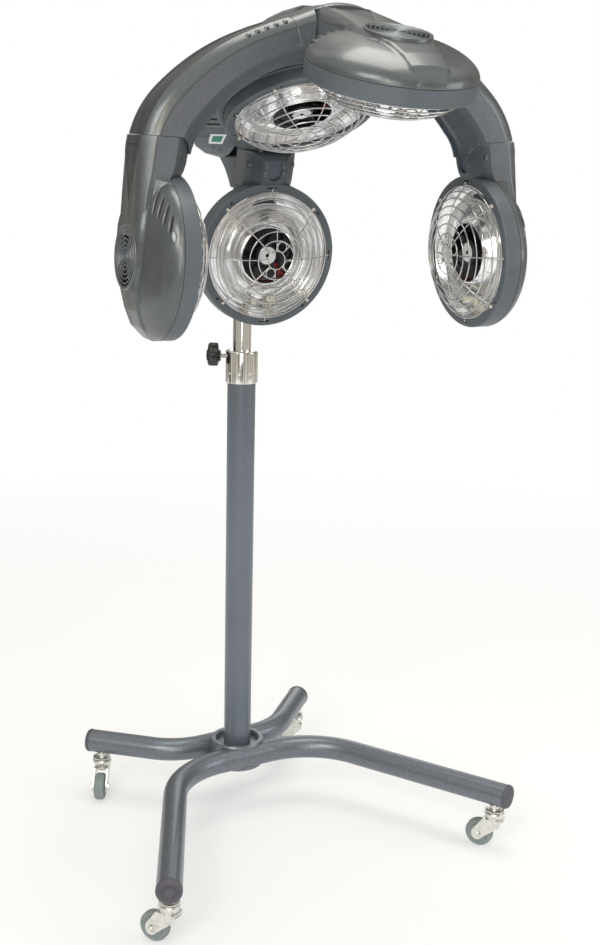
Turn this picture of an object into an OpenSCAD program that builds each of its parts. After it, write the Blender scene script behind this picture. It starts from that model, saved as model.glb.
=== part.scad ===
// Hood hair dryer: five infrared-and-fan heads carried on an arched frame,
// on a telescopic chrome pole with a four-legged caster base.
// Millimetres. +Z up, -Y is the front, where the client sits, -X is left.
// The origin is on the floor under the pole axis.

/* [Base] */
// Turn of the leg base under the column, degrees
base_yaw = 5.8; // [-180:0.1:180]
// Height of the leg tube centreline
leg_z = 104.6; // [95:0.1:120]
// Outer diameter of the leg tube
leg_d = 42; // [36:1:50]
// Wall of the leg tube
leg_wall = 2.5; // [1.5:0.5:4]
// Spread angle of a front leg from straight ahead, degrees
front_leg_angle = 27.3; // [20:0.1:45]
// Straight length of a front leg after the bend
front_leg_len = 313.5; // [250:0.5:400]
// Bend radius of the front leg tube
front_bend = 150; // [100:1:200]
// Spread angle of a rear leg from straight back, degrees
rear_leg_angle = 45.5; // [35:0.1:60]
// Straight length of a rear leg after the bend
rear_leg_len = 123; // [80:1:200]
// Bend radius of the rear leg tube
rear_bend = 120; // [80:1:160]
// Distance of the front leg tube centreline from the column axis
front_leg_gap = 36; // [25:0.5:50]
// Half length of the straight middle run of the front leg tube
front_run = 52; // [20:1:60]
// Distance of the rear leg tube centreline from the column axis
rear_leg_gap = 41; // [25:0.5:50]
// Half length of the straight middle run of the rear leg tube
rear_run = 55; // [20:1:70]
// Outer diameter of the hub ring
hub_d = 100; // [90:1:120]

/* [Casters] */
// Wheel diameter
wheel_d = 50; // [40:1:75]
// Wheel width
wheel_w = 19; // [14:1:26]
// Trail of the axle behind the swivel axis
trail = 26; // [10:1:30]
// Distance of the swivel axis from the leg end
caster_inset = 20; // [20:1:50]
// Resting swivel angle of the front left caster, degrees
swivel_fl = 123; // [0:1:360]
// Resting swivel angle of the front right caster, degrees
swivel_fr = 123; // [0:1:360]
// Resting swivel angle of the rear left caster, degrees
swivel_rl = 238; // [0:1:360]
// Resting swivel angle of the rear right caster, degrees
swivel_rr = 150; // [0:1:360]

/* [Column] */
// Column outer diameter
column_d = 50; // [40:1:60]
// Column wall
column_wall = 2.5; // [1.5:0.5:4]
// Height of the column top
column_top = 840.5; // [700:1:900]
// Collar outer diameter
collar_d = 56.5; // [54:0.5:70]
// Height of the collar top
collar_top = 865.5; // [800:1:920]
// Telescopic pole diameter
pole_d = 32; // [25:1:38]
// Pole bottom height at the lowest setting
pole_foot = 380; // [300:1:450]
// Top of the pole inside the mast socket
pole_top = 1290; // [1250:1:1320]

/* [Heads] */
// Outer diameter of a head
head_d = 240; // [200:1:280]
// Depth of the bezel band
bezel_h = 25; // [18:1:35]
// Height of the domed back above the bezel
dome_h = 43; // [30:1:60]
// Diameter of the reflector opening in the bezel
opening_d = 211; // [180:1:214]
// Diameter of the fan opening
fan_d = 93; // [80:1:100]
// Rise of the wire guard
guard_h = 34; // [20:1:50]
// Guard wire diameter
wire_d = 2.4; // [1.6:0.1:4]
// Diameter of the vent boss on the back
boss_d = 96; // [80:1:110]
// Blades on each fan
fan_blades = 7; // [5:1:11]

/* [Head positions] */
// Side head face centre, distance from the middle plane
side_x = 246.8; // [220:0.1:280]
// Side head face centre, distance forward of the pole axis
side_y = 330; // [280:0.1:380]
// Side head face centre height
side_z = 1060.8; // [1000:0.1:1150]
// Tilt of the side faces away from upright, degrees
side_tilt = 3.1; // [0:0.1:10]
// Back head face centre, distance forward of the pole axis
back_y = 108.7; // [100:0.1:140]
// Back head face centre height
back_z = 1039.6; // [1000:0.1:1100]
// Downward tilt of the back head face, degrees
back_tilt = 6.6; // [0:0.1:15]
// Front head face centre, distance forward of the pole axis
front_y = 513; // [480:0.1:560]
// Front head face centre height
front_z = 1307; // [1280:0.1:1350]
// Tilt of the front head face toward the client, degrees
front_tilt = 15.8; // [0:0.1:30]
// Crown head face centre, distance forward of the pole axis
crown_y = 231.5; // [200:0.1:260]
// Crown head face centre height
crown_z = 1265.7; // [1230:0.1:1300]
// Forward tilt of the crown head, degrees
crown_tilt = 27.4; // [10:0.1:40]

/* [Arms] */
// Width of the arms across the arch plane
arm_w = 92; // [80:1:100]
// Elbow pivot above the face centre, along the arm
elbow_x = 148; // [145:0.5:152]
// Elbow pivot behind the face plane
elbow_z = 14; // [10:0.5:18]
// Elbow knuckle radius
elbow_r = 22; // [18:0.5:24]
// Top of the arch
arch_z = 1424; // [1400:1:1450]
// Shell wall
wall = 3; // [2:0.5:4]

/* [Hidden] */
$fn = 64;

leg_r = leg_d/2;
hub_r = hub_d/2;
wheel_r = wheel_d/2;
column_r = column_d/2;
collar_r = collar_d/2;
pole_r = pole_d/2;
head_r = head_d/2;
opening_r = opening_d/2;
fan_r = fan_d/2;
arm_half = arm_w/2;
gap = 0.5;  // clearance round an elbow or a head
fit = 0.05; // running clearance of a shaft or pin

steel = [0.70, 0.72, 0.74];
chrome = [0.82, 0.83, 0.85];
graphite = [0.33, 0.34, 0.34];
slate = [0.30, 0.33, 0.37];
column_grey = [0.34, 0.37, 0.42];
hub_grey = [0.22, 0.23, 0.25];
wheel_grey = [0.42, 0.44, 0.42];
black = [0.07, 0.07, 0.08];
aluminium = [0.85, 0.86, 0.87];
lamp_white = [0.9, 0.9, 0.88];
cream = [0.85, 0.82, 0.7];
board_green = [0.1, 0.35, 0.2];

// ---------- lofted skins ----------
// the points in reverse order, on the other side of the middle plane
function flip(points) = [for (i = [len(points)-1:-1:0]) [points[i][0], -points[i][1]]];
function mirrored(points) = concat(points, flip(points));

// Skin through rings of equal length, closed at both ends. The caps join
// point i of a ring to point size-1-i. "turned" reverses the faces.
module loft(rings, turned = false) {
  count = len(rings);
  size = len(rings[0]);
  last = (count-1)*size;
  facets = concat(
    [for (i = [0:size/2-2]) each [[i, i+1, size-2-i], [i, size-2-i, size-1-i]]],
    [for (i = [0:count-2]) for (j = [0:size-1])
      let (near = i*size, far = near+size, next = (j+1)%size)
      each [[near+j, far+j, near+next], [near+next, far+j, far+next]]],
    [for (i = [0:size/2-2])
      each [[last+size-2-i, last+i+1, last+i], [last+size-1-i, last+size-2-i, last+i]]]);
  polyhedron(
    points = [for (ring = rings) each ring],
    faces = turned ? [for (f = facets) [for (i = [len(f)-1:-1:0]) f[i]]] : facets,
    convexity = 8);
}

// Sections are lists of [level from inner to outer, place across the arm].
// full arm section between two levels
function arm_section(inner, outer, half) = let (t = outer-inner) mirrored([
  [outer, 0.60*half], [outer-0.035*t, 0.80*half],
  [outer-0.10*t, 0.90*half], [outer-0.24*t, half],
  [inner+0.34*t, 0.95*half], [inner+0.20*t, 0.74*half],
  [inner+0.05*t, 0.48*half], [inner, 0.36*half]]);
// thin section from one side of an outline and one side of its offset twin
function thin_section(outline, twin) = concat(mirrored(outline), flip(twin), twin);
// outer shell of the arch, an open channel
function shell_section(t, half) = thin_section(
  [[0.345*t, 0.955*half], [0.76*t, half], [0.90*t, 0.90*half],
   [0.965*t, 0.80*half], [t, 0.60*half]],
  [[t-wall, 0.58*half], [0.95*t-wall, 0.77*half], [0.88*t-wall/2, 0.88*half-wall],
   [0.75*t, half-wall], [0.345*t, 0.955*half-wall]]);
// inner liner of the arch, with a recessed channel down its middle
channel_half = 12.5;
channel_depth = 9;
function liner_section(t, half) = let (back = channel_depth+wall) thin_section(
  [[0.335*t, 0.95*half], [0.20*t, 0.74*half], [0.05*t, 0.48*half],
   [0, 0.36*half], [0, channel_half+1.5], [channel_depth, channel_half]],
  [[back, channel_half-1], [back, channel_half+1], [back, 0.36*half],
   [back+0.01*t, 0.48*half-2], [max(back+0.02*t, 0.20*t+2), 0.74*half-3],
   [0.335*t, 0.95*half-wall]]);

// ---------- arch path ----------
arch_t = 80; // depth of the arch at its top and ends
// point reached from start on an arc whose slope runs from a0 to a1
function arc_point(start, radius, a0, a1) =
  [start[0]+radius*(sin(a1)-sin(a0)), start[1]+radius*(cos(a1)-cos(a0))];
// stations along such an arc, their depth running from t0 to t1
function arc_stations(start, radius, a0, a1, steps, t0, t1) = [for (i = [1:steps])
  let (a = a0+(a1-a0)*i/steps, p = arc_point(start, radius, a0, a))
  [p[0], p[1], a, t0+(t1-t0)*i/steps]];
// point further along a straight run of slope a
function ahead(start, length, a) = [start[0]+length*cos(a), start[1]-length*sin(a)];

apex = [0, arch_z];
top_end = arc_point(apex, 110, 0, 22);
dip = ahead(top_end, 20, 22);
dip_end = arc_point(dip, -250, 22, 16);
shoulder = arc_point(dip_end, 600, 16, 22);
upper_side = arc_point(shoulder, 356, 22, 45);
lower_side = arc_point(upper_side, 152, 45, 84);
// stations of the +X half: [x, z, slope, depth]
right_path = concat(
  arc_stations(apex, 110, 0, 22, 3, arch_t, 72),
  [[dip[0], dip[1], 22, 68]],
  arc_stations(dip, -250, 22, 16, 2, 66, 64),
  arc_stations(dip_end, 600, 16, 22, 3, 64, 66),
  arc_stations(shoulder, 356, 22, 45, 7, 66, arch_t),
  arc_stations(upper_side, 152, 45, 84, 8, arch_t, arch_t),
  [for (length = [30, 75]) let (p = ahead(lower_side, length, 84)) [p[0], p[1], 84, arch_t]]);
arch_path = concat(
  [for (i = [len(right_path)-1:-1:0]) let (s = right_path[i]) [-s[0], s[1], -s[2], s[3]]],
  [[0, arch_z, 0, arch_t]],
  right_path);
// section points placed at a station of the arch
function arch_ring(station, section) = [for (p = section) let (drop = station[3]-p[0])
  [station[0]-drop*sin(station[2]), -side_y-p[1], station[1]-drop*cos(station[2])]];
// whole arch, grown by a margin
module arch_solid(grow)
  loft([for (s = arch_path) arch_ring(s, arm_section(-grow, s[3]+grow, arm_half+grow))]);

// ---------- head placements: local +X toward the elbow, +Z to the head's back ----------
module at_left() translate([-side_x,-side_y,side_z]) rotate([0,-90+side_tilt,0]) children();
module at_right() mirror([1,0,0]) at_left() children();
module at_back()
  translate([0,-back_y,back_z]) rotate([-90+back_tilt,0,0]) rotate([0,0,-90]) children();
module at_front()
  translate([0,-front_y,front_z]) rotate([front_tilt,0,0]) rotate([0,0,90]) children();
module at_crown()
  translate([0,-crown_y,crown_z]) rotate([-crown_tilt,0,0]) rotate([0,0,90]) children();
// the three heads hinged to the arch
module at_arch_heads() {
  at_left() children();
  at_right() children();
  at_front() children();
}

// ---------- elbow ----------
pin_r = 5;
ear_y = 21;
ear_t = 6;
ear_r = 11;
slot_t = ear_t+0.8;
slot_r = 13;
elbow_cut_x = 60; // near end of the space cut for an elbow
module at_elbow(y = 0) translate([elbow_x,y,elbow_z]) rotate([90,0,0]) children();
// clearance for a knuckle and the end of its arm
module elbow_space() {
  at_elbow() cylinder(r = elbow_r+gap, h = arm_w+2, center = true);
  translate([elbow_cut_x,-arm_half-1,elbow_z])
    cube([elbow_x+elbow_r+gap-elbow_cut_x, arm_w+2, 90]);
  translate([elbow_cut_x,-arm_half-1,elbow_z-70]) cube([elbow_x-elbow_cut_x, arm_w+2, 70]);
}
// pair of hinge ears, each ending in an upright at x_end that rises to z_top
module ears(x_end, z_top) for (y = [ear_y,-ear_y]) difference() {
  union() {
    at_elbow(y) cylinder(r = ear_r, h = ear_t, center = true);
    translate([elbow_x,y-ear_t/2,elbow_z-7]) cube([x_end-elbow_x,ear_t,14]);
    translate([x_end-14,y-ear_t/2,elbow_z-7]) cube([14,ear_t,z_top-elbow_z+7]);
  }
  at_elbow(y) cylinder(r = pin_r, h = ear_t+2, center = true);
}
module pin() at_elbow() cylinder(r = pin_r, h = 82, center = true);
// hinge barrel on the arm, slotted for the ears
module knuckle() difference() {
  union() {
    at_elbow() cylinder(r = elbow_r, h = arm_w-4, center = true);
    translate([elbow_x-25.5,-arm_half+4,elbow_z-20]) cube([25.5,arm_w-8,60]);
  }
  for (y = [ear_y,-ear_y]) {
    at_elbow(y) cylinder(r = slot_r, h = slot_t, center = true);
    translate([elbow_x,y-slot_t/2,elbow_z-14]) cube([40,slot_t,70]);
    translate([elbow_x-slot_r,y-slot_t/2,elbow_z]) cube([40,slot_t,60]);
  }
  at_elbow() cylinder(r = pin_r+fit, h = 200, center = true);
  // groove round the middle, on the face side
  at_elbow() difference() {
    cylinder(r = 40, h = 28, center = true);
    cylinder(r = elbow_r-9, h = 30, center = true);
    translate([-60,-9,-20]) cube([120,90,40]);
  }
}

// ---------- arm casings ----------
dome_z = bezel_h+0.4; // rim of the casing, just clear of the bezel
shaft_r = 2;          // fan motor shaft
module dome(radius, height) rotate_extrude() translate([0,dome_z]) polygon(concat(
  [[0,0]],
  [for (i = [0:24]) [radius*cos(i*3.75), height*sin(i*3.75)]]));
// low tapering ridge over the dome, from the vent boss to the far rim
module spine() intersection() {
  dome(head_r, dome_h+4.6);
  translate([0,0,bezel_h+2]) linear_extrude(80) polygon([
    [-20,-40], [-20,40], [-60,36], [-100,27], [-117,20],
    [-117,-20], [-100,-27], [-60,-36]]);
}
// arm stations: [x, inner level, outer level]
arm_stations = [
  [30,40,72.5], [45,36,72], [60,32,71.5], [75,27,71.2],
  [90,22,71], [105,10,70.8], [116,0,70.6], [124,-4,70.4],
  [134,-7,70], [146,-9,69], [158,-10,67.8], [171,-10.5,66]];
// arm from x_start on, brought in by a side and outer wall and an inner wall
module arm_skin(outer_wall, inner_wall, x_start) loft(
  [for (s = arm_stations) if (s[0] >= x_start)
    [for (p = arm_section(s[1]+inner_wall, s[2]-outer_wall, arm_half-outer_wall))
      [s[0], p[1], p[0]]]],
  turned = true);
// ring slots, bridged by three bars
module vent_slots() difference() {
  for (r = [20:5:40]) translate([0,0,bezel_h]) difference() {
    cylinder(r = r+1.3, h = 70);
    translate([0,0,-1]) cylinder(r = r-1.3, h = 72);
  }
  for (a = [0:60:179]) rotate([0,0,a+30]) translate([-60,-1.6,0]) cube([120,3.2,120]);
}
module motor_post(height) {
  translate([0,0,27]) cylinder(r = 17, h = height);
  translate([0,0,6]) cylinder(r = shaft_r, h = 30);
}
module arm_casing() {
  difference() {
    union() {
      dome(head_r, dome_h);
      cylinder(r = boss_d/2, h = 73.5);
      arm_skin(0, 0, 30);
      spine();
    }
    // hollow head
    dome(head_r-wall, dome_h-wall);
    translate([0,0,-60]) cylinder(r = head_r+gap, h = 60+dome_z);
    translate([0,0,bezel_h-1]) cylinder(r = head_r-wall, h = 1.5);
    // hollow arm
    intersection() {
      arm_skin(wall, 13, 75);
      translate([-500,-100,bezel_h+8]) cube([500+elbow_x-32,200,100]);
    }
    // elbow split
    translate([elbow_x+elbow_r-0.2,-100,-100]) cube([60,200,300]);
    translate([elbow_x-30,-100,elbow_z-100]) cube([60,200,100]);
    translate([elbow_x-30,-arm_half+3,elbow_z-100]) cube([80,arm_w-6,147]);
    vent_slots();
  }
  intersection() {
    knuckle();
    translate([elbow_x-30.01,-arm_half-1,elbow_z-60]) cube([90,arm_w+2,115]);
  }
  motor_post(42);
}
// crown casing outline, brought in by an inset
module crown_dome(inset) rotate_extrude() polygon([
  [0,bezel_h-6], [head_r+1-inset,bezel_h-6], [130-inset,bezel_h-2], [134-inset,34],
  [131-inset,46], [118-inset,59], [92-inset,70-inset*0.6], [60-inset,76-inset],
  [0,78-inset]]);
module crown_shape() difference() {
  union() {
    crown_dome(0);
    translate([0,0,bezel_h-6]) cylinder(r = head_r+6, h = 8);
  }
  crown_dome(wall);
  translate([0,0,-30]) cylinder(r = head_r+gap, h = 30+dome_z);
}

// ---------- head parts ----------
module bezel() difference() {
  union() {
    rotate_extrude() polygon([
      [opening_r,0], [head_r-2,0], [head_r-0.6,0.6], [head_r,2],
      [head_r,bezel_h], [head_r-3,bezel_h], [head_r-3,3.2], [opening_r,3.2]]);
    for (a = [45:90:359]) rotate([0,0,a])
      translate([opening_r+3.6,0,-3.5]) cylinder(r = 2.6, h = 5, $fn = 32);
  }
  // slots for the guard hooks
  for (a = [0:90:359]) rotate([0,0,a]) translate([opening_r+3,-9,-1]) cube([4,18,6]);
  // small hole beside each stud
  for (a = [45:90:359]) rotate([0,0,a+6])
    translate([opening_r+5,0,-1]) cylinder(r = 1.8, h = 8, $fn = 32);
}

lamp_r = 80;   // centreline radius of the ring lamp
lamp_gap = 24; // degrees left open between the lamp ends
module at_lamp_ends(z)
  for (a = [180-lamp_gap/2, 180+lamp_gap/2]) rotate([0,0,a]) translate([lamp_r,0,z]) children();
// dish with a trough for the lamp and a sleeve round the fan
module reflector() difference() {
  rotate_extrude() polygon([
    // lower face, rim to fan opening
    [head_r-4,3.5], [opening_r-1.5,3.5], [99,12], [92,22], [82,28.5], [72,29],
    [62,22], [54,11], [fan_r+1.5,1], [fan_r,0],
    // upper face, back to the rim
    [fan_r,24], [fan_r+1.2,24], [fan_r+1.2,3.2], [53,12.5], [61,23.4], [71.4,30.4],
    [82.4,29.9], [93,23.2], [100.2,12.8], [opening_r-0.8,4.7], [head_r-4,4.7]]);
  at_lamp_ends(20) cylinder(r = 7, h = 20, $fn = 32);
}
module lamp() {
  rotate([0,0,180+lamp_gap/2]) rotate_extrude(angle = 360-lamp_gap)
    translate([lamp_r,13]) circle(r = 5, $fn = 32);
  at_lamp_ends(8) cylinder(r = 6, h = 30, $fn = 32);
}

ring_radii = [104,96,86,74,61,47,32,15];
spoke_radii = [104.6,92,74,47,15];
function guard_z(r) = -guard_h*(1-pow(r/(opening_r+0.2),3.4))-1.4;
module guard() {
  for (r = ring_radii)
    rotate_extrude() translate([r,guard_z(r)]) square(wire_d*0.9, center = true);
  for (a = [0:45:359]) rotate([0,0,a]) rotate([90,0,0])
    linear_extrude(wire_d*0.8, center = true) polygon(concat(
      [for (i = [len(spoke_radii)-1:-1:0]) [spoke_radii[i], guard_z(spoke_radii[i])+0.75]],
      [for (r = spoke_radii) [r, guard_z(r)-0.75]]));
  // hooked ends of four of the wires, sprung into the bezel slots
  for (a = [0:90:359]) rotate([0,0,a]) {
    translate([opening_r-2,-1,-2.4]) cube([7.6,2,1.6]);
    translate([opening_r+4,-1,-2.4]) cube([1.6,2,4.4]);
    translate([opening_r+4,-6,0.8]) cube([1.6,12,1.2]);
  }
}
module fan() difference() {
  union() {
    translate([0,0,3]) cylinder(r = 19, h = 20);
    for (i = [0:fan_blades-1]) rotate([0,0,i*360/fan_blades])
      translate([17,0,13]) rotate([38,0,0]) translate([0,-1,-11]) cube([fan_r-19.5,2,22]);
  }
  translate([0,0,5]) cylinder(r = shaft_r+fit, h = 30);
}

// ---------- legs ----------
module in_base() rotate([0,0,base_yaw]) children();
// places in a leg description
GAP = 0;
RUN = 1;
BEND = 2;
ANGLE = 3;
LENGTH = 4;
front_leg = [front_leg_gap, front_run, front_bend, front_leg_angle, front_leg_len];
rear_leg = [rear_leg_gap, rear_run, rear_bend, rear_leg_angle, rear_leg_len];
// centre of the bend, turned so that local -Y runs along the straight leg
module at_bend(leg)
  translate([leg[RUN],-leg[GAP]-leg[BEND],leg_z]) rotate([0,0,leg[ANGLE]]) children();
// both leg ends: local +Z points out along the leg, local +Y is up
module at_leg_ends(leg) for (m = [0,1]) mirror([m,0,0])
  at_bend(leg) translate([leg[BEND],-leg[LENGTH],0]) rotate([90,0,0]) children();
// bent bar towards -Y: middle run, then a bend and a straight leg on each side
module leg_bar(leg, r, extra) for (m = [0,1]) mirror([m,0,0]) {
  translate([-0.01,-leg[GAP],leg_z]) rotate([0,90,0]) cylinder(r = r, h = leg[RUN]+0.01);
  at_bend(leg) {
    rotate_extrude(angle = 90-leg[ANGLE]) translate([leg[BEND],0]) circle(r = r);
    translate([leg[BEND],0,0]) rotate([90,0,0])
      translate([0,0,-0.001]) cylinder(r = r, h = leg[LENGTH]+extra);
  }
}
socket_r = 7; // caster socket inside the leg
// one bent tube, notched by the hub ring
module leg_tube(leg) difference() {
  leg_bar(leg, leg_r, 0);
  leg_bar(leg, leg_r-leg_wall, 1);
  cylinder(r = hub_r, h = 400);
  at_leg_ends(leg) translate([0,0,-caster_inset])
    rotate([90,0,0]) cylinder(r = socket_r+0.05, h = 40);
}
module base_hub() color(hub_grey) in_base() translate([0,0,leg_z-24])
  rotate_extrude() polygon([
    [25.05,2], [27,0], [hub_r-2,0], [hub_r,2], [hub_r,46],
    [hub_r-2,49], [hub_r-9,49], [hub_r-11,46], [hub_r-12,40], [25.05,40]]);
module front_leg_tube() color(hub_grey) in_base() leg_tube(front_leg);
module rear_leg_tube() color(hub_grey) in_base() mirror([0,1,0]) leg_tube(rear_leg);
module end_cap() {
  plug_r = leg_r-leg_wall;
  translate([0,0,0.05]) rotate_extrude() polygon([
    [0,-10], [plug_r-1.2,-10], [plug_r-0.05,-8], [plug_r-0.05,0], [leg_r+0.4,0],
    [leg_r+0.4,4], [leg_r-1.5,7], [leg_r-6,8.6], [0,9.4]]);
}
module leg_end_caps() color(black) in_base() {
  at_leg_ends(front_leg) end_cap();
  mirror([0,1,0]) at_leg_ends(rear_leg) end_cap();
}

// ---------- column ----------
bush_h = 72;
module column_tube() color(column_grey) difference() {
  translate([0,0,leg_z-20]) cylinder(r = column_r, h = column_top-leg_z+20);
  translate([0,0,leg_z-21]) cylinder(r = column_r-column_wall, h = column_top);
}
clamp_dir = 155;
// local +Z runs outward along the clamp screw, or along each grub screw
module at_clamp()
  rotate([0,0,clamp_dir]) translate([0,0,collar_top-11]) rotate([0,90,0]) children();
module at_grub_screws() for (a = [200,240,280])
  rotate([0,0,a]) translate([0,0,column_top-14]) rotate([0,90,0]) children();
module column_collar() color(chrome) difference() {
  rotate_extrude() polygon([
    [column_r+0.03,column_top-32], [collar_r,column_top-32], [collar_r,collar_top-4],
    [collar_r-1.2,collar_top-1.2], [collar_r-4,collar_top], [pole_r+0.4,collar_top],
    [pole_r+0.4,column_top+0.1], [column_r+0.03,column_top+0.1]]);
  at_clamp() cylinder(r = 4+fit, h = 60);
  at_grub_screws() cylinder(r = 2.5, h = 60, $fn = 32);
}
module collar_grub_screws() color(steel) at_grub_screws()
  translate([0,0,column_r+0.05]) difference() {
    cylinder(r = 2.5, h = 2.7, $fn = 32);
    translate([0,0,1.2]) cylinder(r = 1.3, h = 3, $fn = 6);
  }
module pole_guide_bush() color(black) difference() {
  translate([0,0,column_top-bush_h]) cylinder(r = column_r-column_wall-0.03, h = bush_h);
  translate([0,0,column_top-bush_h-1]) cylinder(r = pole_r+fit, h = 90);
}
// three-lobed knob on its screw, bored for the stem of the pad
module clamp_knob() color(black) at_clamp() difference() {
  union() {
    translate([0,0,pole_r+3.5]) cylinder(r = 4, h = 28);
    translate([0,0,collar_r+9]) cylinder(r = 10, h = 4);
    translate([0,0,collar_r+13]) linear_extrude(19) union() {
      circle(r = 13.5);
      for (a = [0:120:359]) rotate([0,0,a+60]) translate([13.5,0]) circle(r = 9.5);
    }
    translate([0,0,collar_r+32]) cylinder(r1 = 13.5, r2 = 10, h = 3);
  }
  translate([0,0,pole_r+3]) cylinder(r = 1.5+fit, h = 4, $fn = 32);
}
module clamp_pad() color(cream) at_clamp() {
  translate([0,0,pole_r+0.3]) cylinder(r = 3.6, h = 2.9);
  translate([0,0,pole_r+3]) cylinder(r = 1.5, h = 3.6, $fn = 32);
}

// ---------- casters ----------
leg_under = leg_z-leg_r;
stem_r = 5;
axle_r = 4;
// [x, y] of the caster on the +X leg of a tube that runs towards -Y
function caster_xy(leg) = let (a = leg[ANGLE], out = leg[LENGTH]-caster_inset) [
  leg[RUN]+leg[BEND]*cos(a)+out*sin(a),
  -leg[GAP]-leg[BEND]+leg[BEND]*sin(a)-out*cos(a)];
front_xy = caster_xy(front_leg);
rear_xy = caster_xy(rear_leg);
// casters: [x, y, swivel angle]
front_left = [-front_xy[0], front_xy[1], swivel_fl];
front_right = [front_xy[0], front_xy[1], swivel_fr];
rear_left = [-rear_xy[0], -rear_xy[1], swivel_rl];
rear_right = [rear_xy[0], -rear_xy[1], swivel_rr];
module at_caster(caster)
  in_base() translate([caster[0],caster[1],0]) rotate([0,0,caster[2]]) children();
// the axle, turned so that local Z runs along it
module at_axle(y = 0) translate([trail,y,wheel_r]) rotate([90,0,0]) children();

module caster_sockets() color(steel) in_base()
  for (c = [front_left, front_right, rear_left, rear_right]) translate([c[0],c[1],0])
    difference() {
      rotate_extrude() polygon([
        [0,leg_under-11], [13,leg_under-11], [17,leg_under-10.2], [17,leg_under-8.6],
        [14,leg_under-7.4], [9,leg_under-7.2], [9,leg_under-0.6], [socket_r,leg_under-0.6],
        [socket_r,leg_z-15.6], [9.6,leg_z-15.6], [9.6,leg_z-8], [socket_r,leg_z-8],
        [socket_r,leg_z-4], [0,leg_z-4]]);
      translate([0,0,leg_under-12]) cylinder(r = stem_r+fit, h = 30);
    }
module caster_fork(caster) color(steel) at_caster(caster) {
  // swivel head and stem
  rotate_extrude() polygon([
    [0,wheel_d+6.8], [14,wheel_d+6.8], [15.5,wheel_d+9], [17.6,wheel_d+15],
    [18,leg_under-15], [17,leg_under-12.6], [14,leg_under-11.6],
    [stem_r,leg_under-11.6], [stem_r,leg_under+5], [0,leg_under+5]]);
  // bridge and side plates
  translate([-16,-wheel_w/2-3.7,wheel_d+3.6]) cube([34,wheel_w+7.4,3.3]);
  difference() {
    union() for (side = [-1,1]) translate([0,side*(wheel_w/2+2.6),0]) rotate([90,0,0])
      linear_extrude(2.2, center = true) polygon([
        [-16,wheel_d+6.8], [18,wheel_d+6.8], [trail+10,wheel_r+6], [trail+11,wheel_r],
        [trail+10,wheel_r-5], [trail+6,wheel_r-9.5], [trail,wheel_r-11],
        [trail-5,wheel_r-9.5], [trail-9,wheel_r-5], [-14,wheel_d-4]]);
    at_axle() cylinder(r = axle_r+0.05, h = wheel_w+20, center = true);
  }
  // axle bolt, its head and nut
  at_axle() cylinder(r = axle_r, h = 37, center = true);
  for (side = [-1,1])
    at_axle(side*(wheel_w/2+5.2)) cylinder(r = 6.6, h = 3.2, center = true, $fn = 6);
}
module caster_wheel(caster) color(wheel_grey) at_caster(caster) at_axle() {
  face = -wheel_w/2;
  rotate_extrude() polygon(mirrored([
    [axle_r+fit,face], [9,face], [9,face+3], [wheel_r-7,face+3], [wheel_r-7,face+0.6],
    [wheel_r-4,face+0.4], [wheel_r-1,face+3], [wheel_r,face+6]]));
}
module caster_fork_front_left() caster_fork(front_left);
module caster_fork_front_right() caster_fork(front_right);
module caster_fork_rear_left() caster_fork(rear_left);
module caster_fork_rear_right() caster_fork(rear_right);
module caster_wheel_front_left() caster_wheel(front_left);
module caster_wheel_front_right() caster_wheel(front_right);
module caster_wheel_rear_left() caster_wheel(rear_left);
module caster_wheel_rear_right() caster_wheel(rear_right);

// ---------- mast ----------
pod_z = 1196; // bottom of the control housing
flange_r = 42;
flange_t = 3;
module telescopic_pole() color(chrome) difference() {
  translate([0,0,pole_foot]) cylinder(r = pole_r, h = pole_top-pole_foot);
  translate([0,0,pole_foot-1]) cylinder(r = pole_r-2, h = pole_top-pole_foot-2);
}
module mast_socket() color(slate) rotate_extrude() polygon([
  [pole_r+fit,1146], [22,1146], [24,1149], [26,1158], [33,1178], [flange_r,pod_z],
  [flange_r,pod_z+flange_t], [24,pod_z+flange_t], [24,1296], [0,1296],
  [0,pole_top+0.5], [pole_r+fit,pole_top+0.5]]);

// ---------- control housing ----------
panel_y = 88;  // flat seat of the panel on the rear of the housing
dial_x = 17;
dial_z = 1300;
dial_shaft_r = 3;
inlet_w = 28;
inlet_h = 21;
inlet_z = 1226;
board_y = 54;
board_t = 1.6;
module pod_body(inset) translate([0,0,pod_z]) rotate_extrude() polygon([
  [0,inset], [flange_r-inset*0.3,inset], [66-inset*0.6,6+inset*0.8],
  [82-inset*0.8,17+inset*0.5], [91-inset,32], [95-inset,50], [95-inset,100],
  [91-inset,132], [80-inset,158-inset*0.4], [60-inset*0.6,176-inset],
  [30,184-inset], [0,186-inset]]);
// bridge from the housing to the arch: [y, bottom z, top z, half width]
bridge_stations = [
  [-40,1330,1372,56], [-80,1330,1386,54], [-130,1334,1402,50],
  [-180,1338,1414,47], [-230,1341,1421,46],
  [-side_y+arm_half+0.4, arch_z-arch_t, arch_z, arm_half]];
module bridge_skin(inset) loft(
  [for (s = bridge_stations)
    [for (p = arm_section(s[1]+inset, s[2]-inset, s[3]-inset)) [p[1], s[0], p[0]]]],
  turned = true);
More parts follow.
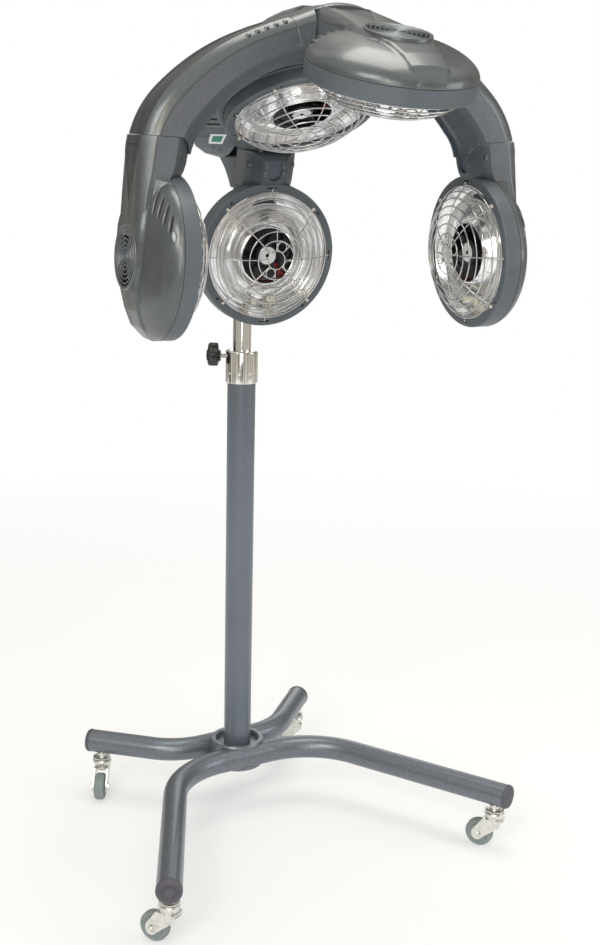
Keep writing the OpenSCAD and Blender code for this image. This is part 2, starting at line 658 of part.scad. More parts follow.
// clearance for the crown head
module crown_space() at_crown() {
  crown_dome(-0.6);
  translate([0,0,-50]) cylinder(r = head_r+0.8, h = 50+bezel_h+2);
  translate([0,0,bezel_h-7]) cylinder(r = head_r+6.8, h = 10);
}
module inlet_opening() translate([-inlet_w/2,60,inlet_z]) cube([inlet_w,60,inlet_h]);
module control_housing() color(slate) {
  difference() {
    union() {
      pod_body(0);
      bridge_skin(0);
      // stub above the elbow of the back head
      at_back() translate([elbow_x+elbow_r+gap,0,0]) rotate([90,0,90]) linear_extrude(44)
        polygon([for (p = arm_section(elbow_z-2, 68, arm_half)) [p[1], p[0]]]);
    }
    pod_body(wall);
    bridge_skin(wall);
    translate([0,0,pod_z-10]) cylinder(r = flange_r+0.05, h = 10+flange_t+0.1);
    crown_space();
    at_back() elbow_space();
    // flat seat for the control panel, and the inlet opening
    translate([-150,panel_y,1180]) cube([300,60,300]);
    inlet_opening();
    // grooves round the front of the housing
    for (k = [0:4]) translate([0,0,1246+k*8]) difference() {
      cylinder(r = 110, h = 2.6);
      translate([0,0,-1]) cylinder(r = 93.2, h = 5);
      translate([-200,-30,-2]) cube([400,300,10]);
    }
  }
  // thick wall behind the control panel, with shaft holes and the inlet opening
  difference() {
    intersection() {
      pod_body(0.5);
      translate([-38,panel_y-6,1216]) cube([76,6,118]);
    }
    for (x = [-dial_x,dial_x])
      translate([x,100,dial_z]) rotate([90,0,0]) cylinder(r = dial_shaft_r+0.6, h = 30);
    inlet_opening();
  }
  // posts carrying the circuit board
  for (x = [-34,34], z = [1262,1314]) translate([x,82.5,z])
    rotate([90,0,0]) cylinder(r = 3, h = 82.5-board_y-board_t-0.05);
  difference() {
    at_back() ears(200, 60);
    crown_space();
  }
}
module control_panel() color(black) difference() {
  translate([-34,panel_y+0.05,1262]) cube([68,3,66]);
  for (x = [-dial_x,dial_x]) translate([x,120,dial_z])
    rotate([90,0,0]) cylinder(r = dial_shaft_r+fit, h = 60, $fn = 32);
}
// skirt, knob, pointer bar and shaft
module dial(x) translate([x,panel_y+3.15,dial_z]) rotate([-90,0,0]) {
  cylinder(r = 14, h = 4);
  translate([0,0,4]) cylinder(r = 10.5, h = 11);
  translate([-1.5,-14,4]) cube([3,12,9]);
  translate([0,0,-12]) cylinder(r = dial_shaft_r, h = 13, $fn = 32);
}
module timer_dial() color(graphite) dial(-dial_x);
module heat_dial() color(graphite) dial(dial_x);
module mains_inlet() color(black) difference() {
  translate([-inlet_w/2+0.1,66,inlet_z+0.1]) cube([inlet_w-0.2,24,inlet_h-0.2]);
  translate([-inlet_w/2+2,70,inlet_z+2]) cube([inlet_w-4,22,inlet_h-4]);
}
module circuit_board() color(board_green) translate([-40,board_y,1256]) cube([80,board_t,64]);

// ---------- arch ----------
module arch_shell() color(graphite) {
  difference() {
    loft([for (s = arch_path) arch_ring(s, shell_section(s[3], arm_half))], turned = true);
    at_arch_heads() elbow_space();
  }
  intersection() {
    union() {
      at_left() ears(197, 70);
      at_right() ears(197, 70);
      at_front() ears(200, 90);
    }
    arch_solid(-1);
  }
}
module arch_liner() color(slate) difference() {
  loft([for (s = arch_path) arch_ring(s, liner_section(s[3], arm_half))]);
  at_arch_heads() elbow_space();
  at_arch_heads() for (y = [ear_y,-ear_y])
    translate([100,y-slot_t/2,-80]) cube([110,slot_t,80+elbow_z+8]);
}
module elbow_pins() color(steel) {
  at_arch_heads() pin();
  at_back() pin();
}

// ---------- heads ----------
module left_arm_casing() color(graphite) at_left() arm_casing();
module right_arm_casing() color(graphite) at_right() arm_casing();
module front_arm_casing() color(graphite) at_front() arm_casing();
module back_arm_casing() color(graphite) at_back() arm_casing();
// cut back where it meets the arch and the elbow of the back head
module crown_casing() color(graphite) difference() {
  at_crown() {
    crown_shape();
    motor_post(50);
  }
  arch_solid(0.5);
  at_back() {
    at_elbow() cylinder(r = elbow_r+1.5, h = arm_w+4, center = true);
    translate([elbow_cut_x,-arm_half-1,elbow_z])
      cube([elbow_x+elbow_r+1-elbow_cut_x, arm_w+2, 90]);
  }
}
module left_bezel() color(slate) at_left() bezel();
module right_bezel() color(slate) at_right() bezel();
module front_bezel() color(slate) at_front() bezel();
module back_bezel() color(slate) at_back() bezel();
module crown_bezel() color(slate) at_crown() bezel();
module left_reflector() color(aluminium) at_left() reflector();
module right_reflector() color(aluminium) at_right() reflector();
module front_reflector() color(aluminium) at_front() reflector();
module back_reflector() color(aluminium) at_back() reflector();
module crown_reflector() color(aluminium) at_crown() reflector();
module left_lamp() color(lamp_white) at_left() lamp();
module right_lamp() color(lamp_white) at_right() lamp();
module front_lamp() color(lamp_white) at_front() lamp();
module back_lamp() color(lamp_white) at_back() lamp();
module crown_lamp() color(lamp_white) at_crown() lamp();
module left_guard() color(chrome) at_left() guard();
module right_guard() color(chrome) at_right() guard();
module front_guard() color(chrome) at_front() guard();
module back_guard() color(chrome) at_back() guard();
module crown_guard() color(chrome) at_crown() guard();
module left_fan() color(black) at_left() fan();
module right_fan() color(black) at_right() fan();
module front_fan() color(black) at_front() fan();
module back_fan() color(black) at_back() fan();
module crown_fan() color(black) at_crown() fan();

base_hub();
front_leg_tube();
rear_leg_tube();
leg_end_caps();
column_tube();
column_collar();
collar_grub_screws();
pole_guide_bush();
clamp_knob();
clamp_pad();
caster_sockets();
caster_fork_front_left();
caster_fork_front_right();
caster_fork_rear_left();
caster_fork_rear_right();
caster_wheel_front_left();
caster_wheel_front_right();
caster_wheel_rear_left();
caster_wheel_rear_right();
telescopic_pole();
mast_socket();
control_housing();
arch_shell();
arch_liner();
elbow_pins();
control_panel();
timer_dial();
heat_dial();
mains_inlet();
circuit_board();
left_arm_casing();
right_arm_casing();
front_arm_casing();
back_arm_casing();
crown_casing();
left_bezel();
right_bezel();
front_bezel();
back_bezel();
crown_bezel();
left_reflector();
right_reflector();
front_reflector();
back_reflector();
crown_reflector();
left_lamp();
right_lamp();
front_lamp();
back_lamp();
crown_lamp();
left_guard();
right_guard();
front_guard();
back_guard();
crown_guard();
left_fan();
right_fan();
front_fan();
back_fan();
crown_fan();
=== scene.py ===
import bpy, bmesh, math
import numpy as np
from mathutils import Matrix, Vector


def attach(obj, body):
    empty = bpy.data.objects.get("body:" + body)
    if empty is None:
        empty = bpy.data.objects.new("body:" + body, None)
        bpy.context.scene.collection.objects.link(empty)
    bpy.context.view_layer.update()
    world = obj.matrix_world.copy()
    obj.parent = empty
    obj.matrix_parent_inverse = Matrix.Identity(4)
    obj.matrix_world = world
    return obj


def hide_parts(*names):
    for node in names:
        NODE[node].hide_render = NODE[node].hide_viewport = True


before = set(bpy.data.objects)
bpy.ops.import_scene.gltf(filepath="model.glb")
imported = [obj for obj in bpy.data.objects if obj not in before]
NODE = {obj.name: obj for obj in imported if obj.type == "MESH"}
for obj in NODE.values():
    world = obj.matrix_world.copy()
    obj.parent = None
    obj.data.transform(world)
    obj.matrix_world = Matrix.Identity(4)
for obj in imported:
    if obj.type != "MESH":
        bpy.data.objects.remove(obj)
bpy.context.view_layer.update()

rad = math.radians
PI = math.pi

# ------------------------------------------------------------ node materials
class Mat:
    def __init__(self, name):
        self.m = bpy.data.materials.new(name); self.m.use_nodes = True
        self.t = self.m.node_tree; self.n = self.t.nodes; self.l = self.t.links
        self.b = self.n["Principled BSDF"]
        self.co = self.n.new("ShaderNodeTexCoord").outputs["Object"]
    def noise(self, scale, detail=3.0, rough=0.55, dist=0.0, stretch=None):
        v = self.co
        if stretch:
            mp = self.n.new("ShaderNodeMapping"); mp.inputs["Scale"].default_value = stretch
            self.l.new(v, mp.inputs["Vector"]); v = mp.outputs["Vector"]
        t = self.n.new("ShaderNodeTexNoise"); t.inputs["Scale"].default_value = scale; t.inputs["Detail"].default_value = detail
        t.inputs["Roughness"].default_value = rough; t.inputs["Distortion"].default_value = dist
        self.l.new(v, t.inputs["Vector"]); return t.outputs["Fac"]
    def voronoi(self, scale, feature="F1", rnd=1.0, out="Distance"):
        t = self.n.new("ShaderNodeTexVoronoi"); t.inputs["Scale"].default_value = scale; t.feature = feature
        t.inputs["Randomness"].default_value = rnd
        self.l.new(self.co, t.inputs["Vector"]); return t.outputs[out]
    def ramp(self, fac, stops):
        r = self.n.new("ShaderNodeValToRGB"); e = r.color_ramp.elements
        while len(e) < len(stops): e.new(0.5)
        for i, (p, c) in enumerate(stops):
            e[i].position = p; e[i].color = (c, c, c, 1) if not hasattr(c, "__len__") else (*c, 1)
        self.l.new(fac, r.inputs["Fac"]); return r.outputs["Color"]
    def mix(self, fac, a, b, mode="MIX"):
        x = self.n.new("ShaderNodeMix"); x.data_type = "RGBA"; x.blend_type = mode
        for s, v in ((x.inputs[0], fac), (x.inputs[6], a), (x.inputs[7], b)):
            if hasattr(v, "is_linked"): self.l.new(v, s)
            elif hasattr(v, "__len__"): s.default_value = (*v, 1) if len(v) == 3 else v
            else: s.default_value = v
        return x.outputs[2]
    def val(self, fac, lo, hi, a=0.0, b=1.0):
        m = self.n.new("ShaderNodeMapRange"); m.inputs[1].default_value = a; m.inputs[2].default_value = b
        m.inputs[3].default_value = lo; m.inputs[4].default_value = hi
        self.l.new(fac, m.inputs[0]); return m.outputs[0]
    def math(self, op, a, b=None):
        x = self.n.new("ShaderNodeMath"); x.operation = op
        for i, v in enumerate((a, b)):
            if v is None: continue
            if hasattr(v, "is_linked"): self.l.new(v, x.inputs[i])
            else: x.inputs[i].default_value = v
        return x.outputs[0]
    def bump(self, h, strength, dist, prev=None):
        b = self.n.new("ShaderNodeBump"); b.inputs["Strength"].default_value = strength; b.inputs["Distance"].default_value = dist
        self.l.new(h, b.inputs["Height"])
        if prev is not None: self.l.new(prev, b.inputs["Normal"])
        return b.outputs["Normal"]
    # painted highlight: mask of convex edges (pointiness), used to lighten the colour along edges
    def edges(self, lo=0.505, hi=0.56):
        g = self.n.new("ShaderNodeNewGeometry"); return self.ramp(g.outputs["Pointiness"], [(lo, 0.0), (hi, 1.0)])
    def put(self, **k):
        for key, v in k.items():
            s = self.b.inputs[{"base": "Base Color", "rough": "Roughness", "metal": "Metallic", "normal": "Normal", "coat": "Coat Weight",
                 "coat_rough": "Coat Roughness", "ior": "IOR", "trans": "Transmission Weight", "spec": "Specular IOR Level", "aniso": "Anisotropic",
                 "alpha": "Alpha", "emit": "Emission Strength", "emit_col": "Emission Color", "sheen": "Sheen Weight"}[key]]
            if hasattr(v, "is_linked"): self.l.new(v, s)
            elif hasattr(v, "__len__"): s.default_value = (*v, 1) if len(v) == 3 else v
            else: s.default_value = v
        return self.m

def m_graphite():
    k = Mat("graphite_gloss_paint")
    fine = k.noise(2600, 2, 0.6); patch = k.noise(26, 4, 0.6); smear = k.noise(9, 4, 0.65, 0.6)
    base = k.mix(k.ramp(patch, [(0.3, 0.0), (0.75, 1.0)]), (0.076, 0.088, 0.092), (0.096, 0.108, 0.112))
    base = k.mix(k.ramp(fine, [(0.55, 0.0), (0.75, 0.45)]), base, (0.24, 0.255, 0.26))
    # painted highlight: lighter grey along convex edges
    base = k.mix(k.math("MULTIPLY", k.edges(), 0.25), base, (0.24, 0.25, 0.25))
    r = k.math("ADD", k.val(smear, 0.28, 0.42), k.val(fine, -0.03, 0.05))
    return k.put(base=base, metal=0.32, rough=r, coat=0.42, coat_rough=0.13, normal=k.bump(fine, 0.05, 0.0004, k.bump(k.noise(190, 2), 0.035, 0.002)))
def m_slate(name="slate_textured_plastic", a=(0.072, 0.088, 0.104), b=(0.100, 0.118, 0.135), fleck=(0.21, 0.23, 0.25), amt=0.42, rough=(0.40, 0.54)):
    k = Mat(name)
    grain = k.noise(1500, 2, 0.6); tex = k.voronoi(1150); patch = k.noise(20, 4, 0.6)
    base = k.mix(k.ramp(patch, [(0.3, 0.0), (0.75, 1.0)]), a, b)
    base = k.mix(k.ramp(grain, [(0.55, 0.0), (0.72, amt)]), base, fleck)
    # painted highlight: lighter grey along convex edges
    base = k.mix(k.math("MULTIPLY", k.edges(), 0.3), base, (0.25, 0.27, 0.28))
    return k.put(base=base, metal=0.12, rough=k.val(patch, rough[0], rough[1]), spec=0.5, normal=k.bump(tex, 0.16, 0.0005, k.bump(grain, 0.10, 0.0005)))
def m_panel():
    k = Mat("speckled_panel_paint")
    sp = k.voronoi(1400, out="Color"); g = k.noise(1900, 2); patch = k.noise(18, 4)
    base = k.mix(k.ramp(patch, [(0.3, 0.0), (0.75, 1.0)]), (0.105, 0.117, 0.136), (0.130, 0.143, 0.162))
    base = k.mix(k.ramp(g, [(0.50, 0.0), (0.66, 0.7)]), base, (0.36, 0.375, 0.40))
    base = k.mix(k.ramp(sp, [(0.80, 0.0), (0.95, 0.5)]), base, (0.05, 0.06, 0.07))
    return k.put(base=base, metal=0.45, rough=k.val(g, 0.34, 0.50), coat=0.15, coat_rough=0.3, normal=k.bump(g, 0.12, 0.0006))
def m_column():
    k = Mat("column_blue_grey_paint")
    peel = k.noise(420, 2); patch = k.noise(7, 5, 0.6, 0.5); scuff = k.noise(60, 6, 0.7, 0, (1, 1, 0.12))
    base = k.mix(k.ramp(patch, [(0.3, 0.0), (0.7, 1.0)]), (0.108, 0.130, 0.160), (0.132, 0.155, 0.185))
    base = k.mix(k.ramp(scuff, [(0.62, 0.0), (0.8, 0.25)]), base, (0.20, 0.22, 0.24))
    return k.put(base=base, metal=0.15, rough=k.val(scuff, 0.30, 0.44), coat=0.3, coat_rough=0.2, normal=k.bump(peel, 0.12, 0.0008))
def m_hammer():
    k = Mat("leg_hammer_paint")
    cell = k.voronoi(520, "SMOOTH_F1"); n = k.noise(520, 3); patch = k.noise(12, 4)
    base = k.mix(k.ramp(cell, [(0.15, 0.0), (0.75, 1.0)]), (0.200, 0.222, 0.252), (0.108, 0.124, 0.148))
    base = k.mix(k.ramp(patch, [(0.35, 0.0), (0.8, 0.5)]), base, (0.155, 0.172, 0.198))
    return k.put(base=base, metal=0.55, rough=k.val(n, 0.30, 0.44), coat=0.25, coat_rough=0.2, normal=k.bump(cell, 0.22, 0.0005, k.bump(n, 0.10, 0.0005)))
def m_plain(name, col, rough=0.5, metal=0.0, fine=900, bump=0.1, var=0.25, coat=0.0):
    k = Mat(name)
    g = k.noise(fine, 3); patch = k.noise(24, 4, 0.6)
    dark = tuple(c * (1 - var) for c in col); lite = tuple(min(1, c * (1 + var)) for c in col)
    base = k.mix(k.ramp(patch, [(0.3, 0.0), (0.75, 1.0)]), dark, lite)
    # painted highlight: a lighter copy of the colour along convex edges
    base = k.mix(k.math("MULTIPLY", k.edges(), 0.35), base, tuple(min(1, c * 1.7 + 0.04) for c in col))
    return k.put(base=base, metal=metal, rough=k.val(patch, rough * 0.82, min(1, rough * 1.18)), coat=coat, normal=k.bump(g, bump, 0.0005))
def m_metal(name, col, rough, brushed=None, smudge=0.10, var=0.06, bump=0.02):
    k = Mat(name)
    s = k.noise(14, 5, 0.65, 0.8); g = k.noise(700 if not brushed else 260, 3, 0.6, 0, brushed)
    base = k.mix(k.ramp(s, [(0.3, 0.0), (0.8, 1.0)]), col, tuple(c * (1 - var) for c in col))
    r = k.math("ADD", k.val(s, rough, rough + smudge), k.val(g, 0.0, 0.05))
    return k.put(base=base, metal=1.0, rough=r, normal=k.bump(g, bump, 0.0004))
def m_zinc():
    k = Mat("zinc_plated_steel")
    sp = k.voronoi(160, out="Color"); s = k.noise(60, 5, 0.6)
    base = k.mix(k.ramp(sp, [(0.2, 0.0), (0.9, 1.0)]), (0.66, 0.66, 0.63), (0.80, 0.79, 0.74))
    base = k.mix(k.ramp(s, [(0.55, 0.0), (0.8, 0.5)]), base, (0.55, 0.52, 0.44))
    return k.put(base=base, metal=0.95, rough=k.val(s, 0.24, 0.42), normal=k.bump(k.noise(500, 3), 0.06, 0.0004))
def m_tyre():
    k = Mat("grey_tyre_rubber")
    g = k.noise(900, 3); s = k.noise(70, 5, 0.7)
    base = k.mix(k.ramp(s, [(0.3, 0.0), (0.75, 1.0)]), (0.185, 0.225, 0.220), (0.245, 0.280, 0.270))
    base = k.mix(k.ramp(k.noise(220, 4), [(0.6, 0.0), (0.75, 0.35)]), base, (0.32, 0.32, 0.29))
    return k.put(base=base, rough=k.val(s, 0.62, 0.8), normal=k.bump(g, 0.22, 0.0006))
def m_glass():
    k = Mat("quartz_lamp_glass")
    g = k.noise(300, 3)
    return k.put(base=(0.93, 0.94, 0.93), rough=k.val(g, 0.05, 0.14), trans=0.75, ior=1.45, coat=0.5, normal=k.bump(g, 0.05, 0.0005))
def m_board():
    k = Mat("circuit_board")
    tr = k.voronoi(420, "DISTANCE_TO_EDGE"); s = k.noise(60, 3)
    base = k.mix(k.ramp(tr, [(0.03, 1.0), (0.06, 0.0)]), (0.02, 0.12, 0.06), (0.10, 0.30, 0.16))
    return k.put(base=base, rough=k.val(s, 0.3, 0.45), coat=0.4)
def m_vent():
    k = Mat("vent_satin_metal")
    g = k.noise(900, 3); s = k.noise(30, 4)
    base = k.mix(k.ramp(s, [(0.3, 0.0), (0.75, 1.0)]), (0.17, 0.185, 0.205), (0.23, 0.245, 0.265))
    return k.put(base=base, metal=0.7, rough=k.val(s, 0.32, 0.44), normal=k.bump(g, 0.05, 0.0004))
def m_floor():
    k = Mat("studio_floor")
    s = k.noise(1.2, 3); m = k.put(base=k.mix(s, (0.90, 0.90, 0.90), (0.93, 0.93, 0.93)), rough=0.8, spec=0.15)
    ln = k.n.new("ShaderNodeVectorMath"); ln.operation = "LENGTH"; k.l.new(k.co, ln.inputs[0])
    em = k.n.new("ShaderNodeEmission"); em.inputs["Color"].default_value = (1, 1, 1, 1); em.inputs["Strength"].default_value = 1.0
    mx = k.n.new("ShaderNodeMixShader"); k.l.new(k.val(ln.outputs["Value"], 0.45, 1.0, 0.9, 2.6), mx.inputs[0])
    out = k.n["Material Output"]; k.l.new(k.b.outputs[0], mx.inputs[1]); k.l.new(em.outputs[0], mx.inputs[2]); k.l.new(mx.outputs[0], out.inputs["Surface"])
    return m

M = dict(
    graphite=m_graphite(), slate=m_slate(), inner=m_slate("inner_slate_plastic", (0.036, 0.046, 0.057), (0.052, 0.064, 0.078), (0.18, 0.20, 0.23), 0.3, (0.36, 0.5)),
    panel=m_panel(), column=m_column(), hammer=m_hammer(), zinc=m_zinc(), tyre=m_tyre(), glass=m_glass(), board=m_board(), vent=m_vent(),
    strip=m_plain("recessed_strip_plastic", (0.048, 0.056, 0.062), 0.36, 0.2, 1200, 0.08, 0.15, 0.2),
    cap=m_plain("end_cap_plastic", (0.060, 0.055, 0.070), 0.55, 0.0, 500, 0.3, 0.3),
    black=m_plain("black_plastic", (0.012, 0.012, 0.013), 0.36, 0.0, 700, 0.10, 0.3),
    fan=m_plain("fan_black_plastic", (0.010, 0.010, 0.012), 0.42, 0.0, 700, 0.1, 0.3),
    # near-black fill for holes, slots, pocket floors and gaps: painted shade
    hole=m_plain("painted_shade_black", (0.006, 0.006, 0.007), 0.8, 0.0, 500, 0.1, 0.2),
    nylon=m_plain("nylon_pad", (0.72, 0.68, 0.55), 0.45, 0.0, 500, 0.08, 0.1),
    ceramic=m_plain("ceramic_ferrule", (0.62, 0.58, 0.48), 0.35, 0.15, 900, 0.08, 0.12, 0.2),
    red=m_plain("red_lead", (0.42, 0.012, 0.012), 0.45, 0.0, 500, 0.05, 0.15),
    sticker=m_plain("plain_label", (0.62, 0.66, 0.69), 0.35, 0.1, 300, 0.03, 0.06, 0.3),
    green=m_plain("label_panel_green", (0.02, 0.16, 0.12), 0.35, 0.0, 300, 0.03, 0.2, 0.3),
    lens=m_plain("indicator_lens", (0.30, 0.34, 0.35), 0.12, 0.0, 200, 0.02, 0.1, 0.8),
    chrome=m_metal("chrome", (0.86, 0.85, 0.83), 0.05, None, 0.06, 0.06, 0.004),
    wire=m_metal("guard_wire_metal", (0.60, 0.60, 0.60), 0.16, None, 0.10),
    channel=m_slate("recess_insert_plastic", (0.045, 0.062, 0.085), (0.062, 0.082, 0.108), (0.15, 0.18, 0.22), 0.3, (0.26, 0.36)),
    # dark steel for screws and elbow pins; on the recessed elbow pins the dark colour is also painted shade
    dark=m_metal("dark_steel_and_recess_shade", (0.16, 0.17, 0.18), 0.32, None, 0.15, 0.2, 0.05),
    alu=m_metal("polished_aluminium", (0.95, 0.95, 0.96), 0.10, None, 0.10, 0.03, 0.015),
    floor=m_floor())

# ------------------------------------------------------------ mesh tools
def make(name, V, F, mat, body=None, mats=None, smooth=True, sharp=35, reps=(), M4=None):
    """V in millimetres; M4 a 4x4 in millimetres"""
    V = np.asarray(V, float)
    if M4 is not None:
        M4 = np.asarray(M4, float); V = V @ M4[:3, :3].T + M4[:3, 3]
        if np.linalg.det(M4[:3, :3]) < 0: F = [tuple(reversed(f)) for f in F]
    me = bpy.data.meshes.new(name); me.from_pydata((V / 1000).tolist(), [], [tuple(int(i) for i in f) for f in F])
    o = bpy.data.objects.new(name, me); bpy.context.scene.collection.objects.link(o)
    for m in (mat if isinstance(mat, (list, tuple)) else [mat]): me.materials.append(m)
    if mats is not None: me.polygons.foreach_set("material_index", np.asarray(mats, np.int32))
    if smooth:
        me.polygons.foreach_set("use_smooth", np.ones(len(me.polygons), bool))
        if sharp: me.set_sharp_from_angle(angle=rad(sharp))
    me.validate(); me.update()
    if reps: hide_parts(*reps)
    if body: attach(o, body)
    return o

def lathe(prof, n=96, closed=True, a0=0.0):
    """prof: list of (r, z) going round the section; closed loop revolved about Z"""
    P = np.array(prof, float); m = len(P); V = []; F = []
    ang = a0 + np.arange(n) * 2 * PI / n
    c, s = np.cos(ang), np.sin(ang)
    idx = np.zeros((n, m), int); 
    for j in range(m):
        if P[j, 0] < 1e-6:
            V.append((0, 0, P[j, 1])); idx[:, j] = len(V) - 1
        else:
            b = len(V)
            V += [(P[j, 0] * c[i], P[j, 0] * s[i], P[j, 1]) for i in range(n)]
            idx[:, j] = b + np.arange(n)
    for i in range(n):
        k = (i + 1) % n
        for j in range(m if closed else m - 1):
            q = [idx[i, j], idx[k, j], idx[k, (j + 1) % m], idx[i, (j + 1) % m]]
            u = []
            for v in q:
                if v not in u: u.append(v)
            if len(u) >= 3: F.append(tuple(u))
    return np.array(V), F

def tube(path, r, n=10, closed=False, caps=True):
    P = np.array(path, float); m = len(P)
    if closed: T = np.roll(P, -1, 0) - np.roll(P, 1, 0)
    else:
        T = np.gradient(P, axis=0)
    T /= np.linalg.norm(T, axis=1)[:, None]
    up = np.array([0, 0, 1.0]) if abs(T[0, 2]) < 0.9 else np.array([1.0, 0, 0])
    N0 = np.cross(T[0], up); N0 /= np.linalg.norm(N0); V = []; N = N0
    for i in range(m):
        N = N - T[i] * (N @ T[i]); N /= np.linalg.norm(N); B = np.cross(T[i], N)
        rr = r[i] if hasattr(r, "__len__") else r
        for k in range(n):
            a = 2 * PI * k / n; V.append(P[i] + rr * (math.cos(a) * N + math.sin(a) * B))
    F = []
    for i in range(m if closed else m - 1):
        for k in range(n):
            a, b = i * n + k, i * n + (k + 1) % n; c, d = ((i + 1) % m) * n + (k + 1) % n, ((i + 1) % m) * n + k
            F.append((a, b, c, d))
    if not closed and caps:
        F.append(tuple(range(n - 1, -1, -1))); F.append(tuple((m - 1) * n + k for k in range(n)))
    return np.array(V), F

def join(parts):
    V = []; F = []; K = []; o = 0
    for p in parts:
        v, f = p[0], p[1]; k = p[2] if len(p) > 2 else 0
        V.append(np.asarray(v, float)); F += [tuple(int(i) + o for i in q) for q in f]
        K += list(k) if hasattr(k, "__len__") else [k] * len(f)
        o += len(v)
    return np.vstack(V), F, K

def shift(p, d=(0, 0, 0), M4=None):
    v = np.asarray(p[0], float)
    if M4 is not None: v = v @ M4[:3, :3].T + M4[:3, 3]
    return (v + np.array(d), p[1]) + tuple(p[2:])

def loft(R, caps=True):
    R = np.asarray(R, float); n, m = R.shape[:2]; F = []
    for i in range(n - 1):
        for j in range(m):
            k = (j + 1) % m; F.append((i * m + j, i * m + k, (i + 1) * m + k, (i + 1) * m + j))
    if caps: F.append(tuple(range(m - 1, -1, -1))); F.append(tuple((n - 1) * m + j for j in range(m)))
    return R.reshape(-1, 3), F

def box(c, s, r=0.0):
    """chamfered box: centre, sizes, chamfer"""
    x, y, z = [q / 2 for q in s]; bm = bmesh.new(); bmesh.ops.create_cube(bm, size=1)
    for v in bm.verts: v.co = Vector((v.co.x * 2 * x, v.co.y * 2 * y, v.co.z * 2 * z))
    if r > 0: bmesh.ops.bevel(bm, geom=list(bm.edges), offset=r, segments=2, profile=0.6, affect="EDGES")
    bm.verts.ensure_lookup_table(); V = np.array([v.co[:] for v in bm.verts]) + np.array(c, float); F = [tuple(v.index for v in f.verts) for f in bm.faces]; bm.free()
    return V, F

def fillet(P, R, seg=4):
    """round the corners of a closed 2-D polygon"""
    P = [np.array(p, float) for p in P]; out = []; n = len(P)
    for i in range(n):
        r = R[i] if hasattr(R, "__len__") else R
        a, b, c = P[i - 1], P[i], P[(i + 1) % n]; u, v = a - b, c - b; lu, lv = np.linalg.norm(u), np.linalg.norm(v)
        if r <= 0 or lu < 1e-6 or lv < 1e-6: out.append(b); continue
        d = min(r, lu * 0.48, lv * 0.48); p, q = b + u / lu * d, b + v / lv * d
        for k in range(seg + 1):
            t = k / seg; out.append((1 - t) ** 2 * p + 2 * t * (1 - t) * b + t * t * q)
    return np.array(out)

def fix(o, dist=1e-5):
    bm = bmesh.new(); bm.from_mesh(o.data); bmesh.ops.remove_doubles(bm, verts=bm.verts, dist=dist); bmesh.ops.recalc_face_normals(bm, faces=bm.faces); bm.to_mesh(o.data); bm.free()

def cut(o, cutter, op="DIFFERENCE", sharp=30):
    """apply an exact boolean with a temporary cutter object"""
    m = o.modifiers.new("cut", "BOOLEAN"); m.operation = op; m.object = cutter; m.solver = "EXACT"
    dg = bpy.context.evaluated_depsgraph_get(); me = bpy.data.meshes.new_from_object(o.evaluated_get(dg)); o.modifiers.clear()
    old = o.data; name = old.name; o.data = me; bpy.data.meshes.remove(old); me.name = name
    bpy.data.objects.remove(cutter); me.polygons.foreach_set("use_smooth", np.ones(len(me.polygons), bool)); me.set_sharp_from_angle(angle=rad(sharp)); me.update()

def temp(V, F, M4=None):
    o = make("tmp_cutter", V, F, M["inner"], smooth=False, M4=M4); fix(o, 1e-6); return o

def rotz(a): c, s = math.cos(a), math.sin(a); return np.array([[c, -s, 0, 0], [s, c, 0, 0], [0, 0, 1, 0], [0, 0, 0, 1.0]])
def rotx(a): c, s = math.cos(a), math.sin(a); return np.array([[1, 0, 0, 0], [0, c, -s, 0], [0, s, c, 0], [0, 0, 0, 1.0]])
def roty(a): c, s = math.cos(a), math.sin(a); return np.array([[c, 0, s, 0], [0, 1, 0, 0], [-s, 0, c, 0], [0, 0, 0, 1.0]])
def tr(x, y, z): m = np.eye(4); m[:3, 3] = (x, y, z); return m
def scl(x, y, z): return np.diag([x, y, z, 1.0])
def smooth(a, b, x): t = np.clip((x - a) / (b - a), 0, 1); return t * t * (3 - 2 * t)

AT = {"left": tr(-246.8, -330, 1060.8) @ roty(rad(-90 + 3.1))}
AT["right"] = scl(-1, 1, 1) @ AT["left"]
AT["back"] = tr(0, -108.7, 1039.6) @ rotx(rad(-90 + 6.6)) @ rotz(rad(-90))
AT["front"] = tr(0, -513, 1307) @ rotx(rad(15.8)) @ rotz(rad(90))
AT["crown"] = tr(0, -231.5, 1265.7) @ rotx(rad(-27.4)) @ rotz(rad(90))
ARM = {h: h + "_arm" for h in ("left", "right", "front", "back")}; ARM["crown"] = "head_frame"
HR, BZ, DH, HW = 120.0, 25.0, 43.0, 46.0
EX, EZ, ER = 148.0, 14.0, 22.0

# ------------------------------------------------------------ head casing, shared by the four arms
def dome_h(r): return BZ + 0.4 + DH * np.sqrt(np.maximum(0, 1 - (r / HR) ** 2))
W_X = [-120, -100, -75, -39, -10, 24, 60, 80, 130]; W_Y = [24, 32, 35, 41, 53, 56, 50, 44, 44]
R_X = [-121, -118, -100, -75, -48, -20, 0, 42, 52, 72, 125]; R_Z = [25, 34.5, 52.5, 62.5, 68.6, 71.6, 72.6, 72.6, 71.2, 66.5, 60]
def casing_z(x, y, r):
    w = np.interp(x, W_X, W_Y); R0 = np.interp(x, R_X, R_Z); t = np.abs(y) / w
    ridge = R0 - 2.2 * t ** 2 - 34 * smooth(0.82, 1.35, t)
    d = dome_h(r); k = 2.6
    h = np.clip(0.5 + 0.5 * (ridge - d) / k, 0, 1)
    return d + (ridge - d) * h + k * h * (1 - h) * 0.5

